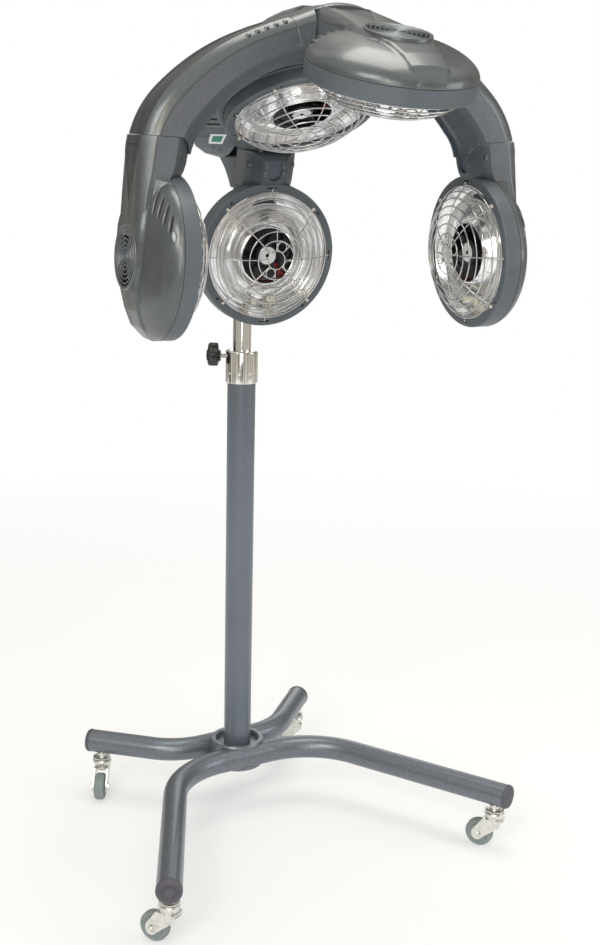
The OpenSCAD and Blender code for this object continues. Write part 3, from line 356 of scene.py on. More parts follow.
def casing_surface():
    n = 288; ph = np.concatenate([np.linspace(0, 60, 46), np.linspace(61.5, 66.2, 6)]); a = np.arange(n) * 2 * PI / n
    V = []; rows = []
    for p in ph:
        r = HR * math.cos(rad(p)); x, y = r * np.cos(a), r * np.sin(a)
        z = casing_z(x, y, np.full(n, r)); z = np.maximum(z, BZ + 0.4)
        if p == 0: z = np.full(n, BZ + 0.4)
        rows.append(np.c_[x, y, z])
    # vent boss: wall, rounded lip, recess
    for r, z in ((48.3, None), (48.0, 72.2), (47.7, 72.9), (47.0, 73.4), (46.2, 73.5), (45.0, 73.5), (44.4, 73.2), (44.2, 72.5), (44.0, 66.0)):
        x, y = r * np.cos(a), r * np.sin(a)
        zz = np.minimum(casing_z(x, y, np.full(n, r)) , 72.0) if z is None else np.full(n, z); rows.append(np.c_[x, y, zz])
    m = len(rows); V = [q for w in rows for q in w]; F = []; K = []
    for i in range(m - 1):
        for j in range(n):
            k = (j + 1) % n; F.append((i * n + j, i * n + k, (i + 1) * n + k, (i + 1) * n + j)); K.append(0)
    # the recess floor behind the vent grille is painted shade, near-black
    F.append(tuple((m - 1) * n + j for j in range(n))); K.append(5)
    # inner wall closes the shell
    o = len(V); inner = [np.c_[q[:, 0] * 0.965, q[:, 1] * 0.965, BZ + 0.4 + (q[:, 2] - BZ - 0.4) * 0.90] for q in rows[0:46:5]]
    for q in inner: V += list(q)
    for j in range(n):
        k = (j + 1) % n; F.append((k, j, o + j, o + k)); K.append(0)
    for i in range(len(inner) - 1):
        for j in range(n):
            k = (j + 1) % n; F.append((o + (i + 1) * n + j, o + (i + 1) * n + k, o + i * n + k, o + i * n + j)); K.append(0)
    F.append(tuple(o + (len(inner) - 1) * n + j for j in range(n - 1, -1, -1))); K.append(0)
    return np.array(V), F, K

ARM_X = [30, 45, 60, 75, 90, 105, 116, 124, 134, 146, 158, 171]
ARM_O = [72.3, 72, 71.5, 71.2, 71, 70.8, 70.6, 70.4, 70, 69, 67.8, 66]
ARM_I = [40, 36, 32, 27, 22, 10, 0, -4, -7, -9, -10, -10.5]
# outline of one half section, outer middle to inner middle, with its material: strip 1, gloss 0, panel 2, inner 3
def half_section(k0, k1, h, s, d, ch=0.0, cd=9.0):
    T = k1 - k0; s = max(s, 0.02)
    P = [(k1 - d, 0), (k1 - d, max(s - 0.9, 0.01)), (k1 - d * 0.9, s - 0.3 if s > 1 else 0.012), (k1 - d * 0.12, s), (k1, s + 0.8), (k1 + 0.1, s + 2.0)]
    M_ = [1, 1, 1, 0, 0, 0]
    b1 = max(0.62 * h, s + 3.0)
    top = fillet([(k1, s + 2.2), (k1 - 0.2, b1), (k1 - 0.035 * T, 0.80 * h), (k1 - 0.10 * T, 0.90 * h), (k1 - 0.24 * T, h), (k0 + 0.34 * T, 0.95 * h), (k0, 0.95 * h)],
                 [0, 3, 4, 4, 2.0, 0, 0], 3)[1:-2]
    for p in top: P.append((p[0], p[1])); M_.append(0)
    M_[-1] = 2
    P.append((k0 + 0.34 * T, 0.95 * h)); M_.append(3)
    for p in fillet([(k0 + 0.34 * T, 0.95 * h), (k0 + 0.20 * T, 0.74 * h), (k0 + 0.05 * T, 0.48 * h), (k0, 0.36 * h), (k0, 0)], [0, 3, 2.5, 2.5, 0], 3)[1:-1]:
        P.append((p[0], p[1])); M_.append(3)
    c = max(ch, 0.02); dd = cd if ch > 0.3 else 0.0
    P += [(k0, c + 1.0), (k0 + 0.3 * min(1, dd), c + 0.3), (k0 + 1.0 * min(1, dd), c), (k0 + dd * 0.9, c * 0.97), (k0 + dd, c * 0.93), (k0 + dd, 0)]
    M_ += [3, 3, 4, 4, 4, 4]
    return P, M_
def full_section(*a, **k):
    P, M_ = half_section(*a, **k); n = len(P)
    Q = P + [(p[0], -p[1]) for p in reversed(P[1:-1])]
    # faces between consecutive points: right half uses M_[i]; left half mirrored
    K = [M_[i] for i in range(n - 1)] + [M_[i] for i in range(n - 2, -1, -1)]
    return Q, K

def arm_loft():
    xs = sorted(set([30, 38, 46, 54, 60] + [66 + 1.5 * i for i in range(8)] + [78 + 3 * i for i in range(16)] + [123.6, 124, 125, 127, 130, 134, 140, 146, 152, 156, 156.4, 156.9, 157.3, 160, 165, 169.8])); R = []
    for x in xs:
        o_, i_ = np.interp(x, ARM_X, ARM_O), np.interp(x, ARM_X, ARM_I)
        s = 31 * max(0, min(1, (x - 70) / 80)) ** 1.15; d = 1.8 * smooth(68, 80, x)
        c = 0.0
        if x > 123.5: c = 12.5 * math.sqrt(max(0, 1 - ((136 - x) / 12.5) ** 2)) if x < 136 else 12.5
        P, K = full_section(i_, o_, HW, s, float(d), ch=c, cd=4.2)
        P = np.array(P)
        if abs(x - 156.4) < 0.3 or abs(x - 156.9) < 0.3:      # fine joint line across the strip
            m = np.abs(P[:, 1]) < s; m &= P[:, 0] > 40; P[m, 0] -= 0.9
        R.append([(x, b, a) for a, b in P])
    V, F = loft(R)
    n = len(R[0]); KK = []
    for i in range(len(R) - 1): KK += K
    return V, F, KK + [0, 0]

def prism(poly, y0, y1):
    n = len(poly); V = [(p[0], y0, p[1]) for p in poly] + [(p[0], y1, p[1]) for p in poly]
    F = [tuple(range(n)), tuple(range(2 * n - 1, n - 1, -1))] + [(i, i + n, (i + 1) % n + n, (i + 1) % n) for i in range(n)]
    return np.array(V, float), F

CMATS = [M["graphite"], M["strip"], M["panel"], M["inner"], M["channel"], M["hole"]]
arc = lambda r, a0, a1, n=24: [(EX + r * math.cos(rad(a0 + (a1 - a0) * i / n)), EZ + r * math.sin(rad(a0 + (a1 - a0) * i / n))) for i in range(n + 1)]

V, F, K = arm_loft()
arm_o = make("arm_tmp", V, F, CMATS, mats=K); fix(arm_o, 2e-6)
cut(arm_o, temp(*prism([(EX + 100 * math.cos(rad(-111.5)), EZ + 100 * math.sin(rad(-111.5))), (200, -80), (200, 14)] + arc(21.8, 0, -111.5), -80, 80)), sharp=28)
me = arm_o.data
AV = np.array([v.co[:] for v in me.vertices]) * 1000; AF = [tuple(p.vertices) for p in me.polygons]; AK = [p.material_index for p in me.polygons]
bpy.data.objects.remove(arm_o)

def vent(n=160):
    parts = []
    for r0 in (5.6, 12.0, 18.4, 24.8, 31.2, 37.6):
        parts.append(lathe([(r0, 71.3), (r0 + 1.6, 71.3), (r0 + 1.6, 72.3), (r0 + 1.3, 72.8), (r0 + 0.8, 73.0), (r0 + 0.3, 72.8), (r0, 72.3)], n))
    parts.append(lathe([(0, 66.2), (3.4, 66.2), (3.4, 72.2), (2.8, 72.9), (0, 73.1)], 64))
    parts.append(lathe([(42.9, 66.1), (44.15, 66.1), (44.15, 72.6), (43.6, 73.0), (42.9, 72.5)], n))
    for a in (0, 60, 120, 180, 240, 300):
        b = box((24, 0, 69.1), (39.5, 1.8, 5.0), 0.4); v, f = b; parts.append(shift((v, f), M4=rotz(rad(a + 30))))
    return join(parts)

def on_dome(x, y, lift=0.0):
    r = math.hypot(x, y); z = float(casing_z(np.array([x]), np.array([y]), np.array([r]))[0]); e = 0.5
    f = lambda u, v: float(casing_z(np.array([u]), np.array([v]), np.array([math.hypot(u, v)]))[0])
    g = np.array([-(f(x + e, y) - f(x - e, y)) / (2 * e), -(f(x, y + e) - f(x, y - e)) / (2 * e), 1.0]); g /= np.linalg.norm(g)
    return np.array([x, y, z]) + g * lift, g

LOUV = [((99.6, 48.5), (62.6, 58.5)), ((91.5, 64.2), (57.5, 72.0)), ((80.5, 79.5), (49.5, 86.3)), ((68.0, 91.5), (41.0, 98.9))]
def louvres(sign):
    lips = []; slots = []
    for (x0, y0), (x1, y1) in LOUV:
        pl, ps = [], []; n = 22
        for i in range(n + 1):
            t = i / n; x = x0 + (x1 - x0) * t; y = y0 + (y1 - y0) * t + 1.2 * math.sin(PI * t)
            c, g = on_dome(x, y * sign, -0.6); pl.append(c)
            # the slot beside each lip is a near-black tube of painted shade
            c2, g2 = on_dome(x - 0.6, (y + 3.4) * sign, -0.95); ps.append(c2)
        prof = [0.4 + 2.5 * math.sin(PI * min(1, max(0, i / n))) ** 0.45 for i in range(n + 1)]
        lips.append(tube(pl, prof, 14)); slots.append(tube(ps, [0.3 + 1.75 * math.sin(PI * i / n) ** 0.4 for i in range(n + 1)], 12))
    return join(lips), join(slots)

def ellip(c, X, Y, Z, a, b, h, nu=32, nv=10):
    """dome of half sizes a, b, h on axes X, Y, Z, with a flat back"""
    V = []; F = []
    for j in range(nv):
        p = j / nv * PI / 2
        for i in range(nu):
            t = 2 * PI * i / nu; V.append(c + X * a * math.cos(p) * math.cos(t) + Y * b * math.cos(p) * math.sin(t) + Z * h * math.sin(p))
    V.append(c + Z * h); top = len(V) - 1
    for j in range(nv - 1):
        for i in range(nu):
            k = (i + 1) % nu; F.append((j * nu + i, j * nu + k, (j + 1) * nu + k, (j + 1) * nu + i))
    for i in range(nu): F.append(((nv - 1) * nu + i, (nv - 1) * nu + (i + 1) % nu, top))
    F.append(tuple(range(nu - 1, -1, -1)))
    return np.array(V), F

CS = casing_surface(); VENT = vent()
for h in ("left", "right", "front", "back"):
    lip1, slot1 = louvres(-1); lip2, slot2 = louvres(1)
    V, F, K = join([CS, (AV, AF, AK), (lip1[0], lip1[1], 0), (lip2[0], lip2[1], 0), (slot1[0], slot1[1], 5), (slot2[0], slot2[1], 5)])
    make(h + "_casing_shell", V, F, CMATS, body=ARM[h], mats=K, sharp=32, reps=(h + "_arm_casing",), M4=AT[h])
    make(h + "_vent_grille", VENT[0], VENT[1], M["vent"], body=ARM[h], sharp=40, M4=AT[h])
    if h != "front":
        c, g = on_dome(37.1, -107.7, 0.0); T = np.array([0.94, 0.33, 0]); T -= g * (T @ g); T /= np.linalg.norm(T); B = np.cross(g, T)
        ring = ellip(c - g * 0.5, T, B, g, 9.5, 4.6, 1.5); lens = ellip(c - g * 0.2, T, B, g, 7.6, 3.1, 2.2)
        V, F, K = join([(ring[0], ring[1], 0), (lens[0], lens[1], 1)])
        make(h + "_indicator_lens", V, F, [M["graphite"], M["lens"]], body=ARM[h], mats=K, sharp=40, M4=AT[h])

# ------------------------------------------------------------ bezel, reflector, lamp, guard, fan
def bezel_mesh():
    V, F = lathe(fillet([(105.5, 0.0), (119.2, 0.0), (120, 25), (115.5, 25), (115.5, 21), (116.2, 4.0), (107.2, 4.0), (105.5, 4.0)], [0.8, 2.6, 0.5, 0.3, 0.3, 1, 0.2, 0.5], 5), 192)
    return V, F
V, F = bezel_mesh()
bo = make("bezel_tmp", V, F, [M["slate"], M["hole"]]); fix(bo, 1e-6)
for a in (0, 90, 180, 270):
    v, f = box((111.4, 0, 0), (3.2, 17, 6.2), 1.2); cut(bo, temp(v, f, rotz(rad(a))), sharp=35)
for a in (51, 141, 231, 321):
    v, f = lathe([(0, -3), (2.3, -3), (2.3, 3.2), (0, 3.2)], 24); cut(bo, temp(v, f, rotz(rad(a)) @ tr(111.5, 0, 0)), sharp=35)
BV = np.array([v.co[:] for v in bo.data.vertices]) * 1000; BF = [tuple(p.vertices) for p in bo.data.polygons]; bpy.data.objects.remove(bo)
SEAM_V, SEAM_F = lathe([(118.6, 24.75), (120.12, 24.75), (120.18, 24.85), (120.18, 25.65), (120.0, 25.75), (118.6, 25.75)], 192)
# near-black plates at the floors of the bezel pockets and holes: painted shade
def sink():
    parts = []
    for a in (0, 90, 180, 270): v, f = box((111.4, 0, 3.1), (3.4, 17.2, 0.8), 0.1); parts.append(shift((v, f), M4=rotz(rad(a))))
    for a in (51, 141, 231, 321): parts.append(shift(lathe([(0, 2.2), (2.4, 2.2), (2.4, 3.4), (0, 3.4)], 20), M4=rotz(rad(a)) @ tr(111.5, 0, 0)))
    return join(parts)
SINK = sink()
FER = join([shift(lathe(fillet([(0, -3.4), (2.5, -3.4), (2.7, 0.6), (0, 0.6)], [0, 0.9, 0, 0], 4), 24), M4=rotz(rad(a)) @ tr(108.9, 0, 0)) for a in (45, 135, 225, 315)])

def reflector_mesh(n=48):
    # stepped, faceted bowl round the fan opening, thin pressed sheet
    base = [(115.2, 4.3), (105.0, 4.3), (103.8, 6.0), (96.8, 15.4), (95.6, 16.2), (88.2, 24.2), (87.0, 25.0), (80.4, 28.4), (79.2, 28.8), (72.6, 28.6), (71.4, 28.0), (65.2, 23.8), (64.2, 22.6), (58.6, 15.0), (57.8, 13.4), (52.2, 5.4), (49.0, 1.9), (47.3, 1.0), (46.5, 1.4), (46.5, 24.0)]
    back = [(47.4, 24.0), (47.4, 3.0), (52.4, 8.0), (60.6, 22.2), (71.0, 30.6), (82.2, 30.6), (93.4, 23.0), (100.4, 12.9), (105.2, 5.2), (115.2, 5.2)]
    V, F = lathe(base + back, n); m = len(base) + len(back)
    R = V.reshape(n, m, 3) if len(V) == n * m else None
    A = np.zeros_like(V)
    for j in range(m): A[j * n:(j + 1) * n] = V[j * n:(j + 1) * n]
    for j in range(2, len(base) - 4):
        for i in range(n):      # small alternate dents give the broken highlights of pressed sheet
            V[j * n + i, 2] += 0.20 * (((i // 2) + (j // 3)) % 2)
    return V, F
RV, RF = reflector_mesh()
def lamp_mesh():
    P = []; n = 120
    for i in range(n + 1):
        a = rad(192 + 336 * i / n); P.append((80 * math.cos(a), 80 * math.sin(a), 13))
    coil = [(80 * math.cos(rad(194 + 332 * i / 1400)) * (1 + 0.0165 * math.cos(i * 0.9)), 80 * math.sin(rad(194 + 332 * i / 1400)) * (1 + 0.0165 * math.cos(i * 0.9)), 13 + 1.3 * math.sin(i * 0.9)) for i in range(1401)]
    glass = tube(P, 5.0, 16); ends = [shift(lathe(fillet([(0, 6), (6, 6), (6, 22), (0, 22)], [0, 1.2, 0.5, 0], 3), 28), M4=rotz(rad(a)) @ tr(80, 0, 0)) for a in (168, 192)]
    ceramic = join(ends)
    return join([(glass[0], glass[1], 0), (ceramic[0], ceramic[1], 1), tube(coil, 0.35, 4) + (2,)])
LV, LF, LK = lamp_mesh()
GR = [104, 96, 86, 74, 61, 47, 32, 15]; GH = 34.0; ORR = 105.5
def gz(r): return -GH * (1 - (r / (ORR + 0.2)) ** 3.4) - 1.4
def guard_mesh():
    parts = []
    for r in GR:
        n = 144; parts.append(tube([(r * math.cos(2 * PI * i / n), r * math.sin(2 * PI * i / n), gz(r)) for i in range(n)], 1.15, 8, closed=True))
    for a in range(0, 360, 45):
        path = [(r, 0, gz(r) + (1.7 if r > 15.5 else 0.0)) for r in np.linspace(15, 104.0, 34)]
        if a % 90 == 0: path += [(106.5, 0, -1.6), (109.2, 0, -1.9), (110.4, 0, -1.2), (110.6, 0, 1.0), (110.6, 0.6, 2.2), (110.6, 5.5, 2.2)]
        else: path += [(106.0, 0, -1.8), (108.9, 0, -2.2), (108.9, 0, -1.0)]
        parts.append(shift(tube(path, 1.05, 8), M4=rotz(rad(a))))
    for a in (22.5, 112.5, 202.5, 292.5):   # small loops tying the inner rings
        n = 40; c = (23.5 * math.cos(rad(a)), 23.5 * math.sin(rad(a)))
        parts.append(tube([(c[0] + 8.2 * math.cos(2 * PI * i / n), c[1] + 8.2 * math.sin(2 * PI * i / n), gz(math.hypot(c[0] + 8.2 * math.cos(2 * PI * i / n), c[1] + 8.2 * math.sin(2 * PI * i / n))) + 0.2) for i in range(n)], 0.95, 8, closed=True))
    return join(parts)
GV, GF, _ = guard_mesh()
def fan_mesh():
    hub = lathe(fillet([(2.1, 2.4), (16.6, 2.4), (19, 5.0), (19, 22), (17.2, 22), (17.2, 6.5), (2.1, 6.5)], [0.2, 2.2, 1.5, 0.5, 0.5, 0.5, 0.2], 4), 64)
    parts = [(hub[0], hub[1], 0), lathe([(3.5, 2.1), (14.5, 2.1), (14.8, 2.3), (14.8, 2.6), (3.5, 2.6)], 48) + (1,)]
    for k in range(7):
        R = []
        for i in range(13):
            t = i / 12; r = 18.2 + (44.6 - 18.2) * t; pitch = rad(52 - 22 * t); sweep = rad(-6 + 22 * t); ch = 9.5 + 4.5 * t - 1.5 * t * t
            sec = []
            for (u, w) in ((-1, 0), (-0.6, 0.55), (0, 0.85), (0.6, 0.6), (1, 0.1), (1, -0.15), (0.6, 0.0), (0, -0.05), (-0.6, -0.1)):
                du = u * ch; z = 13 + du * math.sin(pitch) * 0.86 + w * 1.3; tang = du * math.cos(pitch); th = sweep + tang / r
                sec.append((r * math.cos(th), r * math.sin(th), z))
            R.append(sec)
        v, f = loft(R); parts.append((shift((v, f), M4=rotz(2 * PI * k / 7))[0], f, 0))
    return join(parts)
FV, FF, FK = fan_mesh()
def spider():
    """motor carrier behind the fan with two leads"""
    parts = [lathe(fillet([(0, 24.5), (17, 24.5), (17, 27.5), (0, 27.5)], [0, 1, 0.5, 0], 3), 48) + (0,), lathe([(45.2, 23.4), (49.8, 23.4), (49.8, 27.4), (45.2, 27.4)], 96) + (0,)]
    for a in (20, 110, 200, 290):
        v, f = box((32, 0, 26), (32, 6, 2.6), 0.5); parts.append((shift((v, f), M4=rotz(rad(a)))[0], f, 0))
    for q, a in ((0, 128), (1, 134)):
        P = [(r * math.cos(rad(a + 3 * math.sin(r / 7.0))), r * math.sin(rad(a + 3 * math.sin(r / 7.0))), 23.3 - 0.6 * q) for r in np.linspace(12, 46, 24)]
        v, f = tube(P, 0.9, 8); parts.append((v, f, 1))
    P = [(44.0 * math.cos(rad(a)), 44.0 * math.sin(rad(a)), 22.9) for a in range(128, 300, 4)]
    v, f = tube(P, 0.9, 8); parts.append((v, f, 1))
    return join(parts)
SV, SF, SK = spider()
for h in ("left", "right", "front", "back", "crown"):
    B = ARM[h]; A = AT[h]
    V, F, K = join([(BV, BF, 0), (SINK[0], SINK[1], 1), (FER[0], FER[1], 2)])
    make(h + "_shadow_gap", SEAM_V, SEAM_F, M["hole"], body=B, sharp=40, M4=A)
    make(h + "_bezel_ring", V, F, [M["slate"], M["hole"], M["ceramic"]], body=B, mats=K, sharp=35, reps=(h + "_bezel",), M4=A)
    make(h + "_reflector_bowl", RV, RF, M["alu"], body=B, sharp=14, reps=(h + "_reflector",), M4=A)
    make(h + "_lamp_tube", LV, LF, [M["glass"], M["ceramic"], M["wire"]], body=B, mats=LK, sharp=50, reps=(h + "_lamp",), M4=A)
    make(h + "_wire_guard", GV, GF, M["wire"], body=B, sharp=60, reps=(h + "_guard",), M4=A)
    make(h + "_fan_rotor", FV, FF, [M["fan"], M["sticker"]], body=h + "_fan", mats=FK, sharp=35, reps=(h + "_fan",), M4=A)
    make(h + "_motor_carrier", SV, SF, [M["fan"], M["red"]], body=B, mats=SK, sharp=35, M4=A)

# ------------------------------------------------------------ arch
SY, AZ = 330.0, 1424.0
def astep(p, R, a0, a1): return (p[0] + R * (math.sin(rad(a1)) - math.sin(rad(a0))), p[1] + R * (math.cos(rad(a1)) - math.cos(rad(a0))))
def arcs(p, R, a0, a1, n, t0, t1):
    out = []
    for i in range(1, n + 1):
        a = a0 + (a1 - a0) * i / n; q = astep(p, R, a0, a); out.append((q[0], q[1], a, t0 + (t1 - t0) * i / n))
    return out
q0 = (0, AZ); q1 = astep(q0, 110, 0, 22); q2 = (q1[0] + 20 * math.cos(rad(22)), q1[1] - 20 * math.sin(rad(22)))
q3 = astep(q2, -250, 22, 16); q4 = astep(q3, 600, 16, 22); q5 = astep(q4, 356, 22, 45); q6 = astep(q5, 152, 45, 84)
half = arcs(q0, 110, 0, 22, 9, 80, 72) + [(q2[0], q2[1], 22, 68)] + arcs(q2, -250, 22, 16, 4, 66, 64) + arcs(q3, 600, 16, 22, 7, 64, 66) + arcs(q4, 356, 22, 45, 18, 66, 80) + arcs(q5, 152, 45, 84, 26, 80, 80)
for d in (10, 20, 30, 45, 60, 75): half.append((q6[0] + d * math.cos(rad(84)), q6[1] - d * math.sin(rad(84)), 84, 80))
PATH = [(-x, z, -a, t) for x, z, a, t in reversed(half)] + [(0, AZ, 0, 80)] + half
def arch_pt(s, a, b): return (s[0] - (s[3] - a) * math.sin(rad(s[2])), -SY - b, s[1] - (s[3] - a) * math.cos(rad(s[2])))
def path_at(x):
    P = np.array(PATH); return tuple(np.interp(x, P[:, 0], P[:, i]) if i else x for i in range(4))
def arch_mesh():
    xs = [p[0] for p in PATH]; S = list(PATH)
    for sx in (-82, 82):
        for dx in (-0.8, -0.35, 0.35, 0.8): S.append(path_at(sx + dx))
    S.sort(key=lambda s: (s[0] if abs(s[2]) < 80 else s[0] * 1.0)); 
    # keep order along the arch: by x for the top, the path is monotone in x
    R = []
    for s in S:
        ax = abs(s[0]); d = 1.8 * float(smooth(86, 100, ax)); P, K = full_section(0, s[3], HW, 31.0 if ax > 84 else 28, max(d, 0.02), ch=12.5, cd=4.2)
        P = np.array(P)
        if any(abs(s[0] - (q + e)) < 1e-6 for q in (-82, 82) for e in (-0.35, 0.35)):
            m = P[:, 0] > 0.345 * s[3]; P[m, 0] -= 0.55; P[m, 1] *= 0.987
        R.append([arch_pt(s, a, b) for a, b in P])
    V, F = loft(R); KK = []
    for i in range(len(R) - 1): KK += K
    return V, F, KK + [0, 0]
V, F, K = arch_mesh()
arch = make("arch_body", V, F, CMATS, mats=K); fix(arch, 2e-6)
CUTP = [(60, -80), (148, -80)] + arc(22.5, -90, 0) + [(170.5, 130), (60, 130)]
for h in ("left", "right", "front"):
    w_ = 46.9 if h == "front" else 60
    v, f = prism(CUTP, -w_, w_); cut(arch, temp(v, f, AT[h]), sharp=28)
def hoods(side):
    parts = []
    for i in range(5):
        s = path_at(side * (151 - 14.2 * i)); n = np.array([math.sin(rad(s[2])) * 0.62, -0.78, math.cos(rad(s[2])) * 0.62]); n /= np.linalg.norm(n)
        t = np.array([math.cos(rad(s[2])), 0, -math.sin(rad(s[2]))]); b = np.cross(n, t)
        c = np.array(arch_pt(s, 0.925 * s[3], 0.862 * HW)) - n * 0.9
        up = b if b[2] > 0 else -b
        # the hole under each hood is a near-black dome of painted shade
        parts.append(ellip(c + up * 0.5, t, up, n, 4.6, 3.4, 3.0, 24, 8) + (0,)); parts.append(ellip(c - up * 1.9 + n * 0.55, t, up, n, 2.5, 1.9, 1.3, 18, 6) + (5,))
    return join(parts)
V0 = np.array([v.co[:] for v in arch.data.vertices]) * 1000; F0 = [tuple(p.vertices) for p in arch.data.polygons]; K0 = [p.material_index for p in arch.data.polygons]
bpy.data.objects.remove(arch)
V, F, K = join([(V0, F0, K0), hoods(-1), hoods(1)])
make("arch_body_shell", V, F, CMATS, body="head_frame", mats=K, sharp=30, reps=("arch_shell", "arch_liner"))

# ------------------------------------------------------------ details on the control housing
POD = [(82, 1213), (91, 1228), (95, 1246), (95, 1296), (91, 1328), (80, 1354)]
def pod_r(z): return float(np.interp(z, [p[1] for p in POD], [p[0] for p in POD]))
def patch_on_pod(a0, a1, z0, z1, lift, thick, skew=0.0, n=14, m=8):
    """a thin plate bent round the housing, angles in degrees"""
    out, inn = [], []
    for j in range(m + 1):
        z = z0 + (z1 - z0) * j / m; ro = []; ri = []
        for i in range(n + 1):
            a = rad(a0 + (a1 - a0) * i / n + skew * (j / m - 0.5)); r = pod_r(z)
            ro.append(((r + lift + thick) * math.cos(a), (r + lift + thick) * math.sin(a), z)); ri.append(((r + lift - 0.6) * math.cos(a), (r + lift - 0.6) * math.sin(a), z))
        out.append(ro); inn.append(ri)
    V = [p for w in out for p in w] + [p for w in inn for p in w]; o = (n + 1) * (m + 1); F = []
    g = lambda j, i: j * (n + 1) + i
    for j in range(m):
        for i in range(n): F += [(g(j, i), g(j, i + 1), g(j + 1, i + 1), g(j + 1, i)), (o + g(j, i), o + g(j + 1, i), o + g(j + 1, i + 1), o + g(j, i + 1))]
    for i in range(n): F += [(g(0, i + 1), g(0, i), o + g(0, i), o + g(0, i + 1)), (g(m, i), g(m, i + 1), o + g(m, i + 1), o + g(m, i))]
    for j in range(m): F += [(g(j, 0), g(j + 1, 0), o + g(j + 1, 0), o + g(j, 0)), (g(j + 1, n), g(j, n), o + g(j, n), o + g(j + 1, n))]
    return np.array(V), F
parts = []
for k in range(6):
    v, f = patch_on_pod(194, 226 - 2 * k, 1244 + 7.8 * k, 1248.6 + 7.8 * k, 0, 2.9, 0, 24, 2); parts.append((v, f, 0))
    # thin near-black strip between ribs: painted shade in the gaps
    v, f = patch_on_pod(195, 225 - 2 * k, 1248.6 + 7.8 * k, 1251.0 + 7.8 * k, 0, 0.25, 0, 24, 2); parts.append((v, f, 4))
v, f = patch_on_pod(207.5, 226.0, 1219.0, 1234.2, 0, 0.5, 7.0); parts.append((v, f, 1))
v, f = patch_on_pod(211.5, 223.5, 1222.0, 1231.4, 0.5, 0.35, 4.5); parts.append((v, f, 2))
for a, z in ((209.5, 1213.0), (216, 1209.5)):
    v, f = lathe(fillet([(0, 0), (2.6, 0), (2.6, 1.0), (0, 1.2)], [0, 0.3, 0.6, 0], 3), 20)
    M_ = rotz(rad(a)) @ tr(pod_r(z) - 0.3 - (4.0 if z < 1213 else 0), 0, z) @ roty(rad(105)); parts.append((shift((v, f), M4=M_)[0], f, 3))
V, F, K = join(parts)
make("housing_ribs_and_label", V, F, [M["slate"], M["sticker"], M["green"], M["dark"], M["hole"]], body="head_frame", mats=K, sharp=35)

# ------------------------------------------------------------ caster wheels
def wheel_mesh():
    w = 9.5
    tyre = fillet([(16.5, -w + 1.2), (18.5, -w + 0.7), (21.5, -w + 0.2), (24.0, -w + 2.4), (24.9, -w + 5.2), (25.0, -1.4), (24.4, -0.9), (24.4, 0.9), (25.0, 1.4), (24.9, w - 5.2), (24.0, w - 2.4), (21.5, w - 0.2), (18.5, w - 0.7), (16.5, w - 1.2)],
                  [0.3, 0.8, 1.6, 1.6, 1.2, 0.4, 0.3, 0.3, 0.4, 1.2, 1.6, 1.6, 0.8, 0.3], 3)
    hub = fillet([(4.05, -9.4), (8.2, -9.4), (8.8, -6.6), (14.8, -6.0), (16.6, -8.2), (16.6, 8.2), (14.8, 6.0), (8.8, 6.6), (8.2, 9.4), (4.05, 9.4)], [0.2, 0.8, 1.2, 1.2, 0.3, 0.3, 1.2, 1.2, 0.8, 0.2], 3)
    parts = [lathe(tyre, 96) + (0,), lathe(hub, 64) + (1,)]
    for a in range(0, 360, 60):
        for s in (-1, 1): v, f = box((11.8, 0, s * 6.6), (6.4, 1.6, 1.6), 0.3); parts.append((shift((v, f), M4=rotz(rad(a)))[0], f, 1))
    return join(parts)
WV, WF, WK = wheel_mesh()
HUBM = m_plain("wheel_hub_plastic", (0.30, 0.33, 0.33), 0.45, 0.0, 600, 0.1, 0.15)
def leg_end(gap, run, b, a, l): return (run + b * math.cos(rad(a)) + l * math.sin(rad(a)), -gap - b + b * math.sin(rad(a)) - l * math.cos(rad(a)))
fe = leg_end(36, 52, 150, 27.3, 293.5); re_ = leg_end(41, 55, 120, 45.5, 103)
CAST = {"front_left": (-fe[0], fe[1], 123), "front_right": (fe[0], fe[1], 123), "rear_left": (-re_[0], -re_[1], 238), "rear_right": (re_[0], -re_[1], 150)}
for c, (x, y, a) in CAST.items():
    A = rotz(rad(5.8)) @ tr(x, y, 0) @ rotz(rad(a)) @ tr(26, 0, 25) @ rotx(rad(90))
    make("caster_tyre_" + c, WV, WF, [M["tyre"], HUBM], body="wheel_" + c, mats=WK, sharp=40, reps=("caster_wheel_" + c,), M4=A)

# ------------------------------------------------------------ chrome collar
V, F = lathe(fillet([(25.03, 808.5), (28.25, 808.5), (28.25, 863.6), (26.2, 865.5), (16.4, 865.5), (16.4, 840.55), (25.03, 840.55)], [0.3, 0.8, 2.2, 2.0, 0.8, 0.2, 0.2], 5), 160)
co = make("collar_tmp", V, F, M["chrome"]); fix(co, 1e-6)
v, f = lathe([(0, 12), (4.1, 12), (4.1, 34), (0, 34)], 40); cut(co, temp(v, f, rotz(rad(155)) @ tr(0, 0, 854.5) @ roty(rad(90))), sharp=40)
for a in (200, 240, 280):
    v, f = lathe([(0, 24.2), (2.5, 24.2), (2.5, 34), (0, 34)], 32); cut(co, temp(v, f, rotz(rad(a)) @ tr(0, 0, 826.5) @ roty(rad(90))), sharp=40)
CV = np.array([v.co[:] for v in co.data.vertices]) * 1000; CF = [tuple(p.vertices) for p in co.data.polygons]; bpy.data.objects.remove(co)
make("collar_sleeve", CV, CF, M["chrome"], body="stand", sharp=40, reps=("column_collar",))

